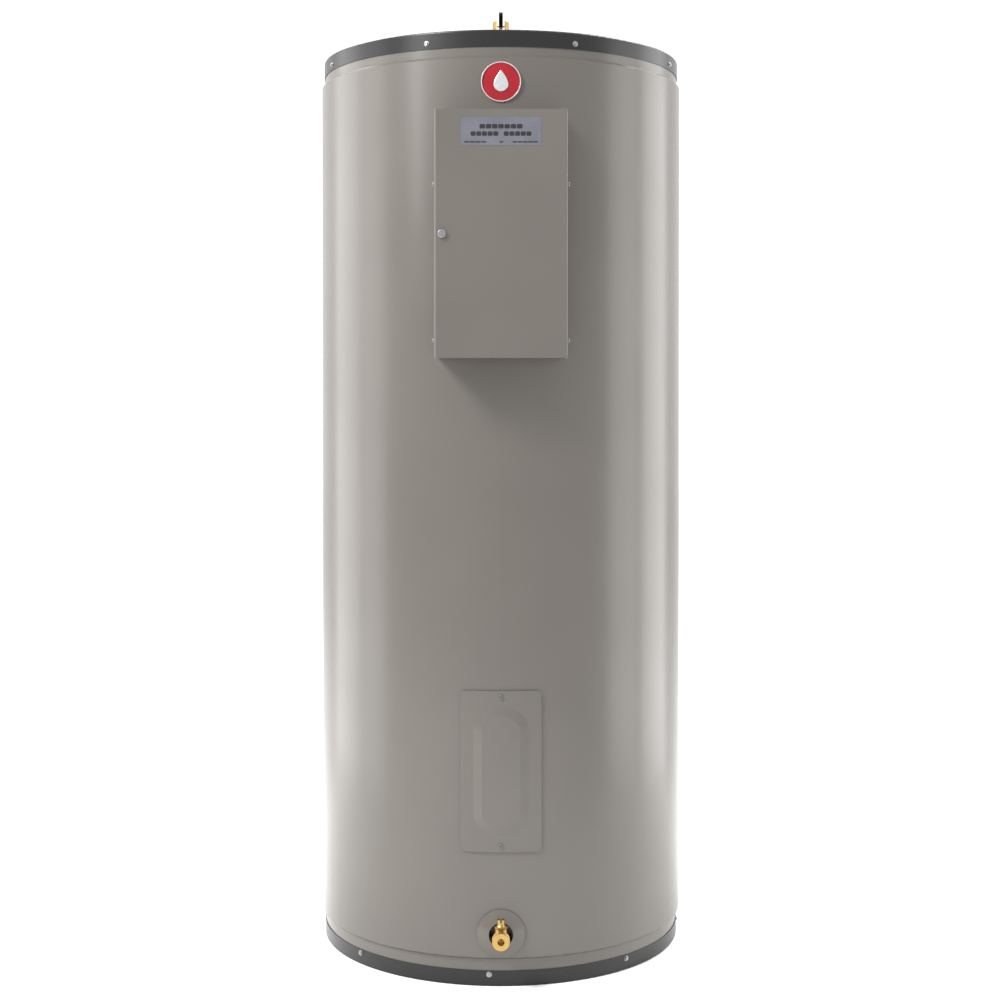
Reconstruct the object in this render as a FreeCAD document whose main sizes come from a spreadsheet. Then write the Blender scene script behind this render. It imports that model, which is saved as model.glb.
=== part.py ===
import FreeCAD, Part

import os
import re

import Sketcher
from FreeCAD import Placement, Rotation, Vector

# A tall electric tank water heater. Millimetres, +Z up. The origin is on the tank's axis, on the floor.
# The front, which carries the control box, the access cover and the drain valve, faces -Y.

SIZES = {
    # overall
    "jacket_radius": 311.0,
    "heater_height": 1508.0,
    # jacket, pans and their rims
    "jacket_wall": 0.8,
    "pan_wall": 1.0,
    "pan_corner": 2.5,
    "fit_gap": 0.2,
    "skin_gap": 0.3,
    "band_step": 4.0,
    "top_band": 27.0,
    "top_neck": 14.0,
    "bottom_band": 25.0,
    "bottom_neck": 18.0,
    "shoulder": 4.0,
    "rim_screw_drop": 18.0,
    "rim_screw_rise": 19.0,
    "rim_screw_head": 4.5,
    "rim_screw_cap": 2.6,
    "rim_screw_shank": 2.0,
    "rim_screw_length": 9.0,
    "seam_width": 9.0,
    # tank
    "insulation": 48.2,
    "tank_wall": 3.0,
    "board_height": 28.0,
    "top_space": 105.0,
    "head_dish": 58.0,
    "bottom_head_rise": 4.0,
    "spud_wall": 6.0,
    "element_spud_length": 14.0,
    "element_spud_stand": 8.0,
    "spud_length": 32.0,
    "top_spud_drop": 33.0,
    # top fittings
    "pipe_radius": 13.35,
    "pipe_end": 42.0,
    "thread_radius": 12.6,
    "pipe_bore": 10.4,
    "pipe_offset": 102.0,
    "pipe_rise": 45.0,
    "grommet_rim": 8.0,
    "grommet_sheet": 2.5,
    "dip_tube_radius": 9.2,
    "dip_tube_wall": 1.5,
    "dip_tube_foot": 220.0,
    "anode_offset": 120.0,
    "anode_radius": 10.5,
    "anode_length": 940.0,
    "anode_hex": 27.0,
    "cap_step": 4.0,
    "cap_sheet": 2.4,
    "cap_radius": 27.0,
    # relief valve, heights above the top pan
    "valve_body_radius": 17.0,
    "valve_cavity_radius": 9.0,
    "valve_bonnet_radius": 14.0,
    "valve_seat_rise": 22.0,
    "valve_outlet_rise": 32.0,
    "valve_outlet_reach": 36.0,
    "valve_outlet_bore": 12.2,
    "valve_outlet_depth": 16.0,
    "valve_roof_rise": 58.0,
    "valve_ear_rise": 79.0,
    "valve_stem_radius": 2.5,
    "valve_inlet_bore": 6.5,
    "valve_disc_radius": 8.0,
    "valve_disc_sheet": 3.0,
    "valve_coil_radius": 6.4,
    "valve_wire_radius": 1.1,
    "valve_turns": 6.0,
    "valve_slot": 13.0,
    "stem_running_gap": 0.08,
    "lever_width": 6.8,
    "lever_pin_radius": 1.5,
    "lever_pin_back": 6.5,
    "lever_pin_rise": 73.5,
    "lever_reach": 40.0,
    "lever_tip_rise": 86.0,
    "lever_tip_radius": 3.3,
    "probe_length": 150.0,
    # heating elements and thermostats
    "element_bore": 16.9,
    "element_rise_lower": 262.0,
    "element_drop_upper": 463.0,
    "element_hex": 38.0,
    "element_hex_depth": 10.0,
    "plug_thread": 18.0,
    "insulator_radius": 14.0,
    "insulator_depth": 7.0,
    "terminal_radius": 3.5,
    "terminal_offset": 8.0,
    "terminal_height": 5.0,
    "element_length": 300.0,
    "sheath_radius": 4.0,
    "sheath_spread": 8.0,
    "gasket_sheet": 2.5,
    "thermostat_rise": 43.0,
    "thermostat_spacing": 3.0,
    "thermostat_width": 50.0,
    "bracket_lip": 5.0,
    "bracket_sheet": 1.2,
    "thermostat_depth": 24.0,
    "thermostat_height": 60.0,
    "limit_height": 48.0,
    "dial_radius": 9.0,
    "dial_shaft": 2.0,
    "dial_depth": 4.0,
    "button_radius": 4.0,
    "window_width": 104.0,
    "upper_window": 200.0,
    "lower_window": 218.0,
    "upper_window_drop": 34.0,
    "lower_window_drop": 29.0,
    "dam_wall": 6.0,
    # control box
    "box_width": 203.0,
    "box_height": 379.0,
    "box_depth": 75.0,
    "box_top_drop": 138.0,
    "box_sheet": 1.2,
    "box_lip_gap": 1.0,
    "chassis_setback": 18.0,
    "box_standoff": 2.5,
    "door_sheet": 1.2,
    "door_gap": 0.6,
    "door_return": 10.0,
    "door_corner": 3.0,
    "pivot_inset": 4.5,
    "pivot_setback": 6.0,
    "pivot_cap": 1.2,
    "pivot_cap_gap": 0.3,
    "pivot_reach": 3.0,
    "pivot_radius": 2.0,
    "running_gap": 0.05,
    "hinge_relief": 14.5,
    "side_screw_setback": 24.0,
    "side_screw_drop": 112.0,
    "side_screw_spacing": 240.0,
    "side_screw_shank": 2.0,
    "side_screw_reach": 5.0,
    "side_screw_head": 4.4,
    "side_screw_cap": 6.5,
    "latch_inset": 11.5,
    "latch_drop": 190.0,
    "latch_head": 6.5,
    "latch_cap": 4.0,
    "latch_barrel": 4.8,
    "cam_length": 9.0,
    "cam_width": 8.0,
    "cam_setback": 11.2,
    "cam_heel": 5.0,
    "latch_reach": 11.5,
    "cam_sheet": 1.6,
    "conduit_setback": 38.0,
    "plug_rim": 1.0,
    "plug_neck": 4.0,
    "conduit_radius": 14.3,
    "switchgear_drop": 122.0,
    "wire_radius": 1.6,
    "contactor_foot": -78.0,
    "contactor_width": 70.0,
    "contactor_depth": 46.0,
    "contactor_height": 72.0,
    "contactor_ledge": 28.0,
    "armature_width": 25.6,
    "armature_height": 11.6,
    "armature_rise": 30.2,
    "armature_back": 34.0,
    "armature_front": 48.0,
    "block_foot": 12.0,
    "block_pitch": 22.67,
    "block_fin": 2.0,
    "block_width": 70.0,
    "block_depth": 20.0,
    "block_fin_depth": 30.0,
    "block_rise": 18.0,
    "block_height": 40.0,
    "post_radius": 4.0,
    "post_offset": 12.3,
    "post_rise": 28.0,
    "post_spacing": 20.0,
    "conduit_offset": 45.0,
    # lower access cover
    "cover_width": 128.0,
    "cover_height": 254.0,
    "cover_foot": 215.0,
    "cover_corner": 8.0,
    "cover_rise": 3.0,
    "cover_sheet": 1.0,
    "panel_width": 87.0,
    "panel_height": 208.0,
    "panel_slope": 16.0,
    "panel_rise": 4.5,
    "panel_spread": 6.0,
    "cover_screw_hole": 1.8,
    "cover_screw_shank": 1.6,
    "cover_screw_length": 8.0,
    "cover_screw_head": 4.2,
    "cover_screw_cap": 2.4,
    "cover_screw_inset": 9.5,
    # drain valve
    "drain_rise": 86.0,
    "drain_reach": 22.0,
    "drain_barrel": 11.5,
    "drain_chamber": 9.5,
    "hose_radius": 13.5,
    "hose_length": 13.5,
    "hose_neck": 0.5,
    "hose_bore": 5.5,
    "drain_seat_drop": 1.5,
    "drain_inlet_bore": 3.4,
    "drain_port": 3.0,
    "drain_well": 5.2,
    "drain_outlet_bore": 2.8,
    "drain_half_height": 14.0,
    "washer_radius": 4.9,
    "washer_sheet": 3.0,
    "drain_stem": 3.0,
    "drain_head": 6.0,
    "escutcheon_radius": 38.0,
    "escutcheon_mouth": 19.0,
    "escutcheon_rise": 11.0,
    # badge and label
    "badge_radius": 31.5,
    "badge_drop": 83.0,
    "badge_sheet": 1.6,
    "label_width": 123.0,
    "label_height": 43.0,
    "label_drop": 34.0,
    "label_sheet": 0.3,
}

DOC = FreeCAD.newDocument("water_heater")
SHEET = DOC.addObject("Spreadsheet::Sheet", "Dimensions")
for row, (alias, number) in enumerate(SIZES.items(), 1):
    SHEET.set(f"A{row}", alias)
    SHEET.set(f"B{row}", str(number))
    SHEET.setAlias(f"B{row}", alias)
DOC.recompute()

NODES = []

# Places that several pieces share, in terms of the driving sizes.
BAND = "(jacket_radius - band_step)"
NECK = f"({BAND} - pan_wall - fit_gap)"
NECK_INSIDE = f"({NECK} - jacket_wall)"
JACKET_INSIDE = "(jacket_radius - jacket_wall)"
FOAM = f"({JACKET_INSIDE} - fit_gap)"
FOAM_NECK = f"({NECK_INSIDE} - fit_gap)"
TANK = "(jacket_radius - jacket_wall - insulation)"
TANK_INSIDE = f"({TANK} - tank_wall)"
TANK_FOOT = "(pan_wall + board_height)"
SHELL_TOP = "(heater_height - top_space)"
CROWN = f"({SHELL_TOP} + head_dish)"
DISH = f"(({TANK}^2 + head_dish^2) / (2 * head_dish))"
FOAM_TOP = "(heater_height - pan_wall - fit_gap)"
SPUD_TOP = "(heater_height - top_spud_drop)"
SPUD = "(thread_radius + fit_gap + spud_wall)"
ELEMENT_SPUD = "(element_bore + spud_wall)"
UPPER_ELEMENT = "(heater_height - element_drop_upper)"
LOWER_ELEMENT = "element_rise_lower"
BOX_TOP = "(heater_height - box_top_drop)"
BOX_FOOT = f"({BOX_TOP} - box_height)"
DOOR_FACE = "(jacket_radius + box_depth)"
BOX_HALF = "(box_width / 2 - door_sheet - door_gap)"
BOX_FRONT = f"({DOOR_FACE} - door_sheet - box_lip_gap)"
BOX_BACK = "(jacket_radius + box_standoff)"
PANEL_FACE = f"({BOX_BACK} + box_sheet)"
SHELF = "(door_sheet + door_gap)"
CAVITY_TOP = f"({BOX_TOP} - {SHELF} - box_sheet)"
CAVITY_FOOT = f"({BOX_FOOT} + {SHELF} + box_sheet)"
PIVOT_X = "(box_width / 2 - pivot_inset)"
PIVOT_Y = f"({DOOR_FACE} - pivot_setback)"
LATCH_X = "(box_width / 2 - latch_inset)"
LATCH_Z = f"({BOX_TOP} - latch_drop)"
UPPER_WINDOW_FOOT = f"({UPPER_ELEMENT} - upper_window_drop)"
LOWER_WINDOW_FOOT = f"({LOWER_ELEMENT} - lower_window_drop)"
SPUD_FACE = f"({TANK} + element_spud_stand)"
SPUD_BACK = f"({SPUD_FACE} - element_spud_length)"
PLUG_SEAT = f"({SPUD_FACE} + gasket_sheet)"
THERMOSTAT_BACK = f"({TANK} + skin_gap)"
THERMOSTAT_FACE = f"({THERMOSTAT_BACK} + thermostat_depth)"
STEM_AXIS = "(jacket_radius + drain_reach)"

UP = Rotation()
FRONT = Rotation(Vector(1, 0, 0), 90)
BACK = Rotation(Vector(1, 0, 0), -90)
RIGHT = Rotation(Vector(0, 1, 0), 90)
LEFT = Rotation(Vector(0, 1, 0), -90)


# ---------------------------------------------------------------- helpers


def bound(text):
    """An expression on the spreadsheet's cells, from the plain names of the sizes."""
    return re.sub(r"[a-z][a-z_]*", lambda word: prefixed(word.group()), str(text))


def prefixed(word):
    """The cell that a size's name stands for; any other word, such as cos, is left as it is."""
    return f"Dimensions.{word}" if word in SIZES else word


def number(text):
    """The value of an expression in millimetres."""
    return float(SHEET.evalExpression(bound(text)))


def place(item, at, turn=UP):
    """Turns an object, and binds its place to the spreadsheet."""
    item.Placement = Placement(Vector(0, 0, 0), turn)
    for axis, text in zip("xyz", at):
        item.setExpression(f"Placement.Base.{axis}", bound(text))
    return item


def primitive(kind, name, at, turn=UP, **sizes):
    """A Part primitive whose sizes and place are bound to the spreadsheet."""
    item = DOC.addObject(f"Part::{kind}", name)
    for size, text in sizes.items():
        item.setExpression(size, bound(text))
    return place(item, at, turn)


def rod(name, radius, length, at, turn=UP):
    """A round bar that starts at a point and runs along the turned Z axis."""
    return primitive("Cylinder", name, at, turn, Radius=radius, Height=length)


def cone(name, foot_radius, top_radius, length, at, turn=UP):
    """A cone or a tapered bar."""
    return primitive("Cone", name, at, turn, Radius1=foot_radius, Radius2=top_radius, Height=length)


def block(name, size, middle):
    """A box, given by its three sizes and the point at its middle."""
    width, depth, height = size
    corner = [f"({point}) - ({side}) / 2" for point, side in zip(middle, size)]
    return primitive("Box", name, corner, Length=width, Width=depth, Height=height)


def slab(name, x_range, y_range, z_range):
    """A box, given by its limits along X, Y and Z."""
    size = [f"({high}) - ({low})" for low, high in (x_range, y_range, z_range)]
    corner = [x_range[0], y_range[0], z_range[0]]
    return primitive("Box", name, corner, Length=size[0], Width=size[1], Height=size[2])


def hexagon(name, across_flats, height, at, turn=UP):
    """A hexagonal bar."""
    item = primitive("Prism", name, at, turn, Circumradius=f"({across_flats}) / sqrt(3)", Height=height)
    item.Polygon = 6
    return item


def fuse(name, *items):
    """Joined solids."""
    item = DOC.addObject("Part::MultiFuse", name)
    item.Shapes = list(items)
    item.Refine = True
    return item


def cut(name, base, *tools):
    """A solid with others taken away."""
    item = DOC.addObject("Part::Cut", name)
    item.Base = base
    item.Tool = tools[0] if len(tools) == 1 else fuse(f"{name}_tools", *tools)
    return item


def common(name, *items):
    """What several solids share."""
    item = DOC.addObject("Part::MultiCommon", name)
    item.Shapes = list(items)
    return item


def group(name, *items):
    """Separate solids that share one node."""
    item = DOC.addObject("Part::Compound", name)
    item.Links = list(items)
    return item


def tube(name, radius, bore, length, at, turn=UP):
    """A round bar with a bore all the way through it."""
    return cut(name, rod(f"{name}_outer", radius, length, at, turn), rod(f"{name}_inner", bore, length, at, turn))


def node(item, label):
    """Marks a finished sub-part: its label names its file."""
    item.Label = label
    NODES.append(item)
    return item


def plane(body, role):
    """One of a body's own origin planes or axes."""
    return next(feature for feature in body.Origin.OriginFeatures if feature.Role == role)


class Ties:
    """Constraints of one sketch, added together so that the sketch never moves, then bound to the spreadsheet."""

    def __init__(self, sketch):
        self.sketch = sketch
        self.constraints = []
        self.bindings = []

    def add(self, *parts):
        """A constraint with no size."""
        self.constraints.append(Sketcher.Constraint(*parts))

    def size(self, kind, *parts, text):
        """A constraint whose size is an expression."""
        self.bindings.append((len(self.constraints), text))
        self.constraints.append(Sketcher.Constraint(kind, *parts, number(text)))

    def point(self, index, end, across, up):
        """Ties one end, or the centre, of an edge to a place."""
        for kind, axis, text in (("DistanceX", -2, across), ("DistanceY", -1, up)):
            if abs(number(text)) < 1e-9:
                self.add("PointOnObject", index, end, axis)
            else:
                self.size(kind, -1, 1, index, end, text=text)

    def apply(self):
        """Adds the constraints to the sketch."""
        self.sketch.addConstraint(self.constraints)
        for index, text in self.bindings:
            self.sketch.setExpression(f"Constraints[{index}]", bound(text))


def outline(body, role, points):
    """A closed sketch. A point is (across, up), or (across, up, radius) where a minor arc leads to it:
    a positive radius turns to the left on the way, and a negative one to the right."""
    sketch = body.newObject("Sketcher::SketchObject", f"{body.Name}_outline")
    sketch.AttachmentSupport = [(plane(body, role), "")]
    sketch.MapMode = "FlatFace"
    seeds = [Vector(number(point[0]), number(point[1]), 0) for point in points]
    starts, ends = [], []
    for index, target in enumerate(points):
        first, last = seeds[index - 1], seeds[index]
        if len(target) == 2:
            sketch.addGeometry(Part.LineSegment(first, last), False)
            starts.append(1)
            ends.append(2)
            continue
        radius = number(target[2])
        chord = last - first
        side = Vector(-chord.y, chord.x, 0).normalize() * (1 if radius > 0 else -1)
        centre = (first + last) / 2 + side * (radius**2 - (chord.Length / 2) ** 2) ** 0.5
        circle = Part.Circle(centre, Vector(0, 0, 1), abs(radius))
        low, high = (first, last) if radius > 0 else (last, first)
        sketch.addGeometry(Part.ArcOfCircle(circle, circle.parameter(low), circle.parameter(high)), False)
        starts.append(1 if radius > 0 else 2)
        ends.append(2 if radius > 0 else 1)
    ties = Ties(sketch)
    for index, target in enumerate(points):
        following = (index + 1) % len(points)
        ties.add("Coincident", index, ends[index], following, starts[following])
        ties.point(index, ends[index], target[0], target[1])
        if len(target) == 3:
            ties.size("Radius", index, text=f"abs({target[2]})")
    ties.apply()
    return sketch


def turned(name, points):
    """A body of revolution about Z, from its half section in the XZ plane."""
    body = DOC.addObject("PartDesign::Body", name)
    revolution = body.newObject("PartDesign::Revolution", f"{name}_turn")
    revolution.Profile = outline(body, "XZ_Plane", points)
    revolution.ReferenceAxis = (revolution.Profile[0], ["V_Axis"])
    revolution.Angle = 360
    body.Tip = revolution
    return body


def extruded(name, role, points, length, midplane=False):
    """A body padded from an outline. On the XZ plane it grows towards the front."""
    body = DOC.addObject("PartDesign::Body", name)
    pad = body.newObject("PartDesign::Pad", f"{name}_pad")
    pad.Profile = outline(body, role, points)
    pad.setExpression("Length", bound(length))
    pad.Midplane = midplane
    body.Tip = pad
    return body


def rounded(name, base, radius, wanted):
    """A fillet on the edges that a test picks."""
    DOC.recompute()
    item = DOC.addObject("Part::Fillet", name)
    item.Base = base
    size = number(radius)
    edges = base.Shape.Edges
    item.Edges = [(index, size, size) for index, edge in enumerate(edges, 1) if wanted(edge)]
    return item


def is_straight(edge, axis):
    """True for a straight edge that runs along an axis."""
    if edge.Curve.TypeId != "Part::GeomLine":
        return False
    return abs(abs(edge.Curve.Direction.dot(axis)) - 1) < 1e-6


def front_hole(name, radius, x, z):
    """A round tool that passes through every layer in front of the tank."""
    return rod(name, radius, DOOR_FACE, (x, 0, z), FRONT)


# ---------------------------------------------------------------- pans and jacket


def ring_screws(name, rise, first_angle):
    """Eight pan-head screws that fix a pan's band to the jacket's neck."""
    screws = []
    for count in range(8):
        angle = first_angle + 45 * count
        direction = Rotation(Vector(0, 0, 1), angle - 90).multiply(RIGHT)
        inner = f"({BAND} + rim_screw_cap - rim_screw_length)"
        shank_at = (f"{inner} * cos({angle - 90})", f"{inner} * sin({angle - 90})", rise)
        head_at = (f"{BAND} * cos({angle - 90})", f"{BAND} * sin({angle - 90})", rise)
        shank = rod(f"{name}_shank_{count}", "rim_screw_shank", "rim_screw_length - 1", shank_at, direction)
        head = rod(f"{name}_head_{count}", "rim_screw_head", "rim_screw_cap", head_at, direction)
        screws.append(fuse(f"{name}_{count}", shank, head))
    return screws


def screw_bores(name, rise, first_angle):
    """Clearance holes for a ring of screws."""
    bores = []
    for count in range(8):
        angle = first_angle + 45 * count
        direction = Rotation(Vector(0, 0, 1), angle - 90).multiply(RIGHT)
        inner = f"({BAND} + rim_screw_cap - rim_screw_length - 1)"
        at = (f"{inner} * cos({angle - 90})", f"{inner} * sin({angle - 90})", rise)
        bores.append(rod(f"{name}_{count}", "rim_screw_shank + fit_gap", "rim_screw_length + 4", at, direction))
    return fuse(name, *bores)


TOP_ANGLE = 22.5
BASE_ANGLE = -3.5
TOP_SCREW_RISE = "(heater_height - rim_screw_drop)"


def make_pans():
    """The black base pan and top pan, with their screws."""
    base = turned("BasePanTurn", [
        ("0", "0"),
        (f"{BAND} - pan_corner", "0"),
        (BAND, "pan_corner", "pan_corner"),
        (BAND, "bottom_band"),
        (f"{BAND} - pan_wall", "bottom_band"),
        (f"{BAND} - pan_wall", "pan_corner"),
        (f"{BAND} - pan_corner", "pan_wall", "-(pan_corner - pan_wall)"),
        ("0", "pan_wall"),
    ])
    node(cut("BasePan", base, screw_bores("BasePanBores", "rim_screw_rise", BASE_ANGLE)), "base_pan")
    node(group("BaseScrews", *ring_screws("base_screw", "rim_screw_rise", BASE_ANGLE)), "base_pan_screws")
    top = turned("TopPanTurn", [
        ("0", "heater_height"),
        ("0", "heater_height - pan_wall"),
        (f"{BAND} - pan_corner", "heater_height - pan_wall"),
        (f"{BAND} - pan_wall", "heater_height - pan_corner", "-(pan_corner - pan_wall)"),
        (f"{BAND} - pan_wall", "heater_height - top_band"),
        (BAND, "heater_height - top_band"),
        (BAND, "heater_height - pan_corner"),
        (f"{BAND} - pan_corner", "heater_height", "pan_corner"),
    ])
    holes = [
        rod(f"top_hole_{count}", "pipe_radius + grommet_rim / 2", 40, (x, y, "heater_height - 20"))
        for count, (x, y) in enumerate(PIPES)
    ]
    anode_hole = rod("top_hole_anode", "cap_radius - cap_step", 40, (0, "anode_offset", "heater_height - 20"))
    bores = screw_bores("TopPanBores", TOP_SCREW_RISE, TOP_ANGLE)
    node(cut("TopPan", top, bores, anode_hole, *holes), "top_pan")
    node(group("TopScrews", *ring_screws("top_screw", TOP_SCREW_RISE, TOP_ANGLE)), "top_pan_screws")


PIPES = (("pipe_offset", "0"), ("-pipe_offset", "0"), ("0", "0"))


def make_jacket():
    """The rolled jacket, drawn in at both ends, with its windows and its seam at the back."""
    top = "(heater_height - pan_corner - fit_gap)"
    top_step = "(heater_height - top_band - top_neck)"
    low_step = "(bottom_band + bottom_neck)"
    foot = "(pan_corner + fit_gap)"
    shell = turned("JacketTurn", [
        (NECK, foot),
        (NECK, low_step),
        ("jacket_radius", f"{low_step} + shoulder"),
        ("jacket_radius", f"{top_step} - shoulder"),
        (NECK, top_step),
        (NECK, top),
        (NECK_INSIDE, top),
        (NECK_INSIDE, f"{top_step} - jacket_wall / 2"),
        (JACKET_INSIDE, f"{top_step} - shoulder - jacket_wall / 2"),
        (JACKET_INSIDE, f"{low_step} + shoulder + jacket_wall / 2"),
        (NECK_INSIDE, f"{low_step} + jacket_wall / 2"),
        (NECK_INSIDE, foot),
    ])
    seam_height = f"({top_step} - {low_step} - 4 * shoulder)"
    seam = common(
        "JacketSeam",
        block("seam_strip", ("seam_width", "40", seam_height), ("0", "jacket_radius", f"({top_step} + {low_step}) / 2")),
        tube("seam_ring", "jacket_radius + jacket_wall", f"{JACKET_INSIDE}", seam_height,
             (0, 0, f"({low_step} + 2 * shoulder)")),
    )
    windows = [
        slab("jacket_upper_window", ("-window_width / 2", "window_width / 2"), (f"-{DOOR_FACE}", f"-{TANK}"),
             (UPPER_WINDOW_FOOT, f"{UPPER_WINDOW_FOOT} + upper_window")),
        slab("jacket_lower_window", ("-window_width / 2", "window_width / 2"), (f"-{DOOR_FACE}", f"-{TANK}"),
             (LOWER_WINDOW_FOOT, f"{LOWER_WINDOW_FOOT} + lower_window")),
        front_hole("jacket_drain_hole", "escutcheon_mouth + 8", "0", "drain_rise"),
        screw_bores("JacketTopBores", TOP_SCREW_RISE, TOP_ANGLE),
        screw_bores("JacketBaseBores", "rim_screw_rise", BASE_ANGLE),
    ]
    for count, height in enumerate(COVER_SCREW_RISES):
        windows.append(front_hole(f"jacket_cover_hole_{count}", "cover_screw_hole", "0", height))
    node(cut("Jacket", fuse("JacketSheet", shell, seam), *windows), "jacket")


COVER_SCREW_RISES = ("(cover_foot + cover_screw_inset)", "(cover_foot + cover_height - cover_screw_inset)")


# ---------------------------------------------------------------- tank


def dished_head(edge, rim):
    """The half section of a head: two concentric arcs that rise by the dish from a rim."""
    dish = f"(({edge}^2 + head_dish^2) / (2 * head_dish))"
    inner_edge = f"sqrt(({dish} - tank_wall)^2 - ({dish} - head_dish)^2)"
    return [
        ("0", f"{rim} + head_dish - tank_wall"),
        (inner_edge, rim, f"-({dish} - tank_wall)"),
        (edge, rim),
        ("0", f"{rim} + head_dish", dish),
    ]


def make_tank():
    """Shell, heads, spuds and the board that the tank stands on."""
    node(rod("SupportBoard", TANK, "board_height", (0, 0, "pan_wall")), "tank_support_board")
    shell = tube("ShellTube", TANK, TANK_INSIDE, f"{SHELL_TOP} - {TANK_FOOT}", (0, 0, TANK_FOOT))
    spuds, spud_holes = [], []
    for count, height in enumerate((UPPER_ELEMENT, LOWER_ELEMENT)):
        start = ("0", f"-{SPUD_BACK}", height)
        spuds.append(tube(f"element_spud_{count}", ELEMENT_SPUD, "element_bore", "element_spud_length", start, FRONT))
        spud_holes.append(front_hole(f"element_spud_hole_{count}", f"{ELEMENT_SPUD} + fit_gap", "0", height))
    start = ("0", f"-{SPUD_BACK}", "drain_rise")
    spuds.append(tube("drain_spud", SPUD, "thread_radius + fit_gap", "element_spud_length", start, FRONT))
    spud_holes.append(front_hole("drain_spud_hole", f"{SPUD} + fit_gap", "0", "drain_rise"))
    node(cut("Shell", shell, *spud_holes), "tank_shell")

    top_head = turned("TopHeadTurn", dished_head(TANK, SHELL_TOP))
    head_holes = []
    spots = PIPES + (("0", "anode_offset"),)
    for count, (x, y) in enumerate(spots):
        spuds.append(tube(f"top_spud_{count}", SPUD, "thread_radius + fit_gap", "spud_length",
                          (x, y, f"{SPUD_TOP} - spud_length")))
        head_holes.append(rod(f"top_spud_hole_{count}", f"{SPUD} + fit_gap", 120, (x, y, f"{CROWN} - 80")))
    node(cut("TopHead", top_head, *head_holes), "tank_top_head")
    node(group("Spuds", *spuds), "tank_spuds")

    bottom_rim = f"({TANK_FOOT} + bottom_head_rise)"
    node(turned("BottomHead", dished_head(f"({TANK_INSIDE} - fit_gap)", bottom_rim)), "tank_bottom_head")


def make_foam():
    """Foam between the tank and the jacket, with the dams that keep it out of the element pockets."""
    gap = "skin_gap"
    top_step = "(heater_height - top_band - top_neck)"
    low_step = "(bottom_band + bottom_neck)"
    foam = turned("FoamTurn", [
        (f"{TANK} + {gap}", "pan_wall"),
        (f"{FOAM_NECK} - pan_corner", "pan_wall"),
        (FOAM_NECK, "pan_wall + pan_corner"),
        (FOAM_NECK, f"{low_step} + jacket_wall"),
        (FOAM, f"{low_step} + shoulder + jacket_wall"),
        (FOAM, f"{top_step} - shoulder - jacket_wall"),
        (FOAM_NECK, f"{top_step} - jacket_wall"),
        (FOAM_NECK, f"{FOAM_TOP} - pan_corner"),
        (f"{FOAM_NECK} - pan_corner", FOAM_TOP),
        ("0", FOAM_TOP),
        ("0", f"{CROWN} + {gap}"),
        (f"{TANK} + {gap}", f"{SHELL_TOP} + {gap}", f"-({DISH} + {gap})"),
    ])
    tools = [rod(f"foam_pipe_{count}", f"{SPUD} + fit_gap", 200, (x, y, SHELL_TOP)) for count, (x, y) in enumerate(PIPES)]
    tools.append(rod("foam_anode", f"{SPUD} + fit_gap", 200, (0, "anode_offset", SHELL_TOP)))
    tools.append(rod("foam_cap", "cap_radius - cap_step", 12, (0, "anode_offset", "heater_height - 12")))
    tools.append(front_hole("foam_drain", "escutcheon_mouth + 8", "0", "drain_rise"))
    tools.append(screw_bores("FoamTopBores", TOP_SCREW_RISE, TOP_ANGLE))
    tools.append(screw_bores("FoamBaseBores", "rim_screw_rise", BASE_ANGLE))
    for count, height in enumerate(COVER_SCREW_RISES):
        tools.append(rod(f"foam_cover_hole_{count}", "2", "20", ("0", f"-({FOAM} - 12)", height), FRONT))
    dams = []
    for name, foot, height in (("upper", UPPER_WINDOW_FOOT, "upper_window"), ("lower", LOWER_WINDOW_FOOT, "lower_window")):
        half = "(window_width / 2 + dam_wall)"
        y_range = (f"-{DOOR_FACE}", f"-({TANK} * 0.9)")
        z_range = (f"{foot} - dam_wall", f"{foot} + {height} + dam_wall")
        outside = slab(f"{name}_dam_outside", (f"-{half}", half), y_range, z_range)
        inside = slab(f"{name}_dam_inside", ("-window_width / 2", "window_width / 2"), y_range, (foot, f"{foot} + {height}"))
        sleeve = tube(f"{name}_dam_sleeve", f"{FOAM}", f"{TANK} + {gap}", "heater_height", (0, 0, 0))
        dams.append(common(f"{name}_dam", cut(f"{name}_dam_frame", outside, inside), sleeve))
        tools.append(slab(f"{name}_dam_pocket", (f"-{half} - fit_gap", f"{half} + fit_gap"), y_range,
                          (f"{z_range[0]} - fit_gap", f"{z_range[1]} + fit_gap")))
    node(cut("Foam", foam, *tools), "foam_insulation")
    node(group("Dams", *dams), "foam_dams")


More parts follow.
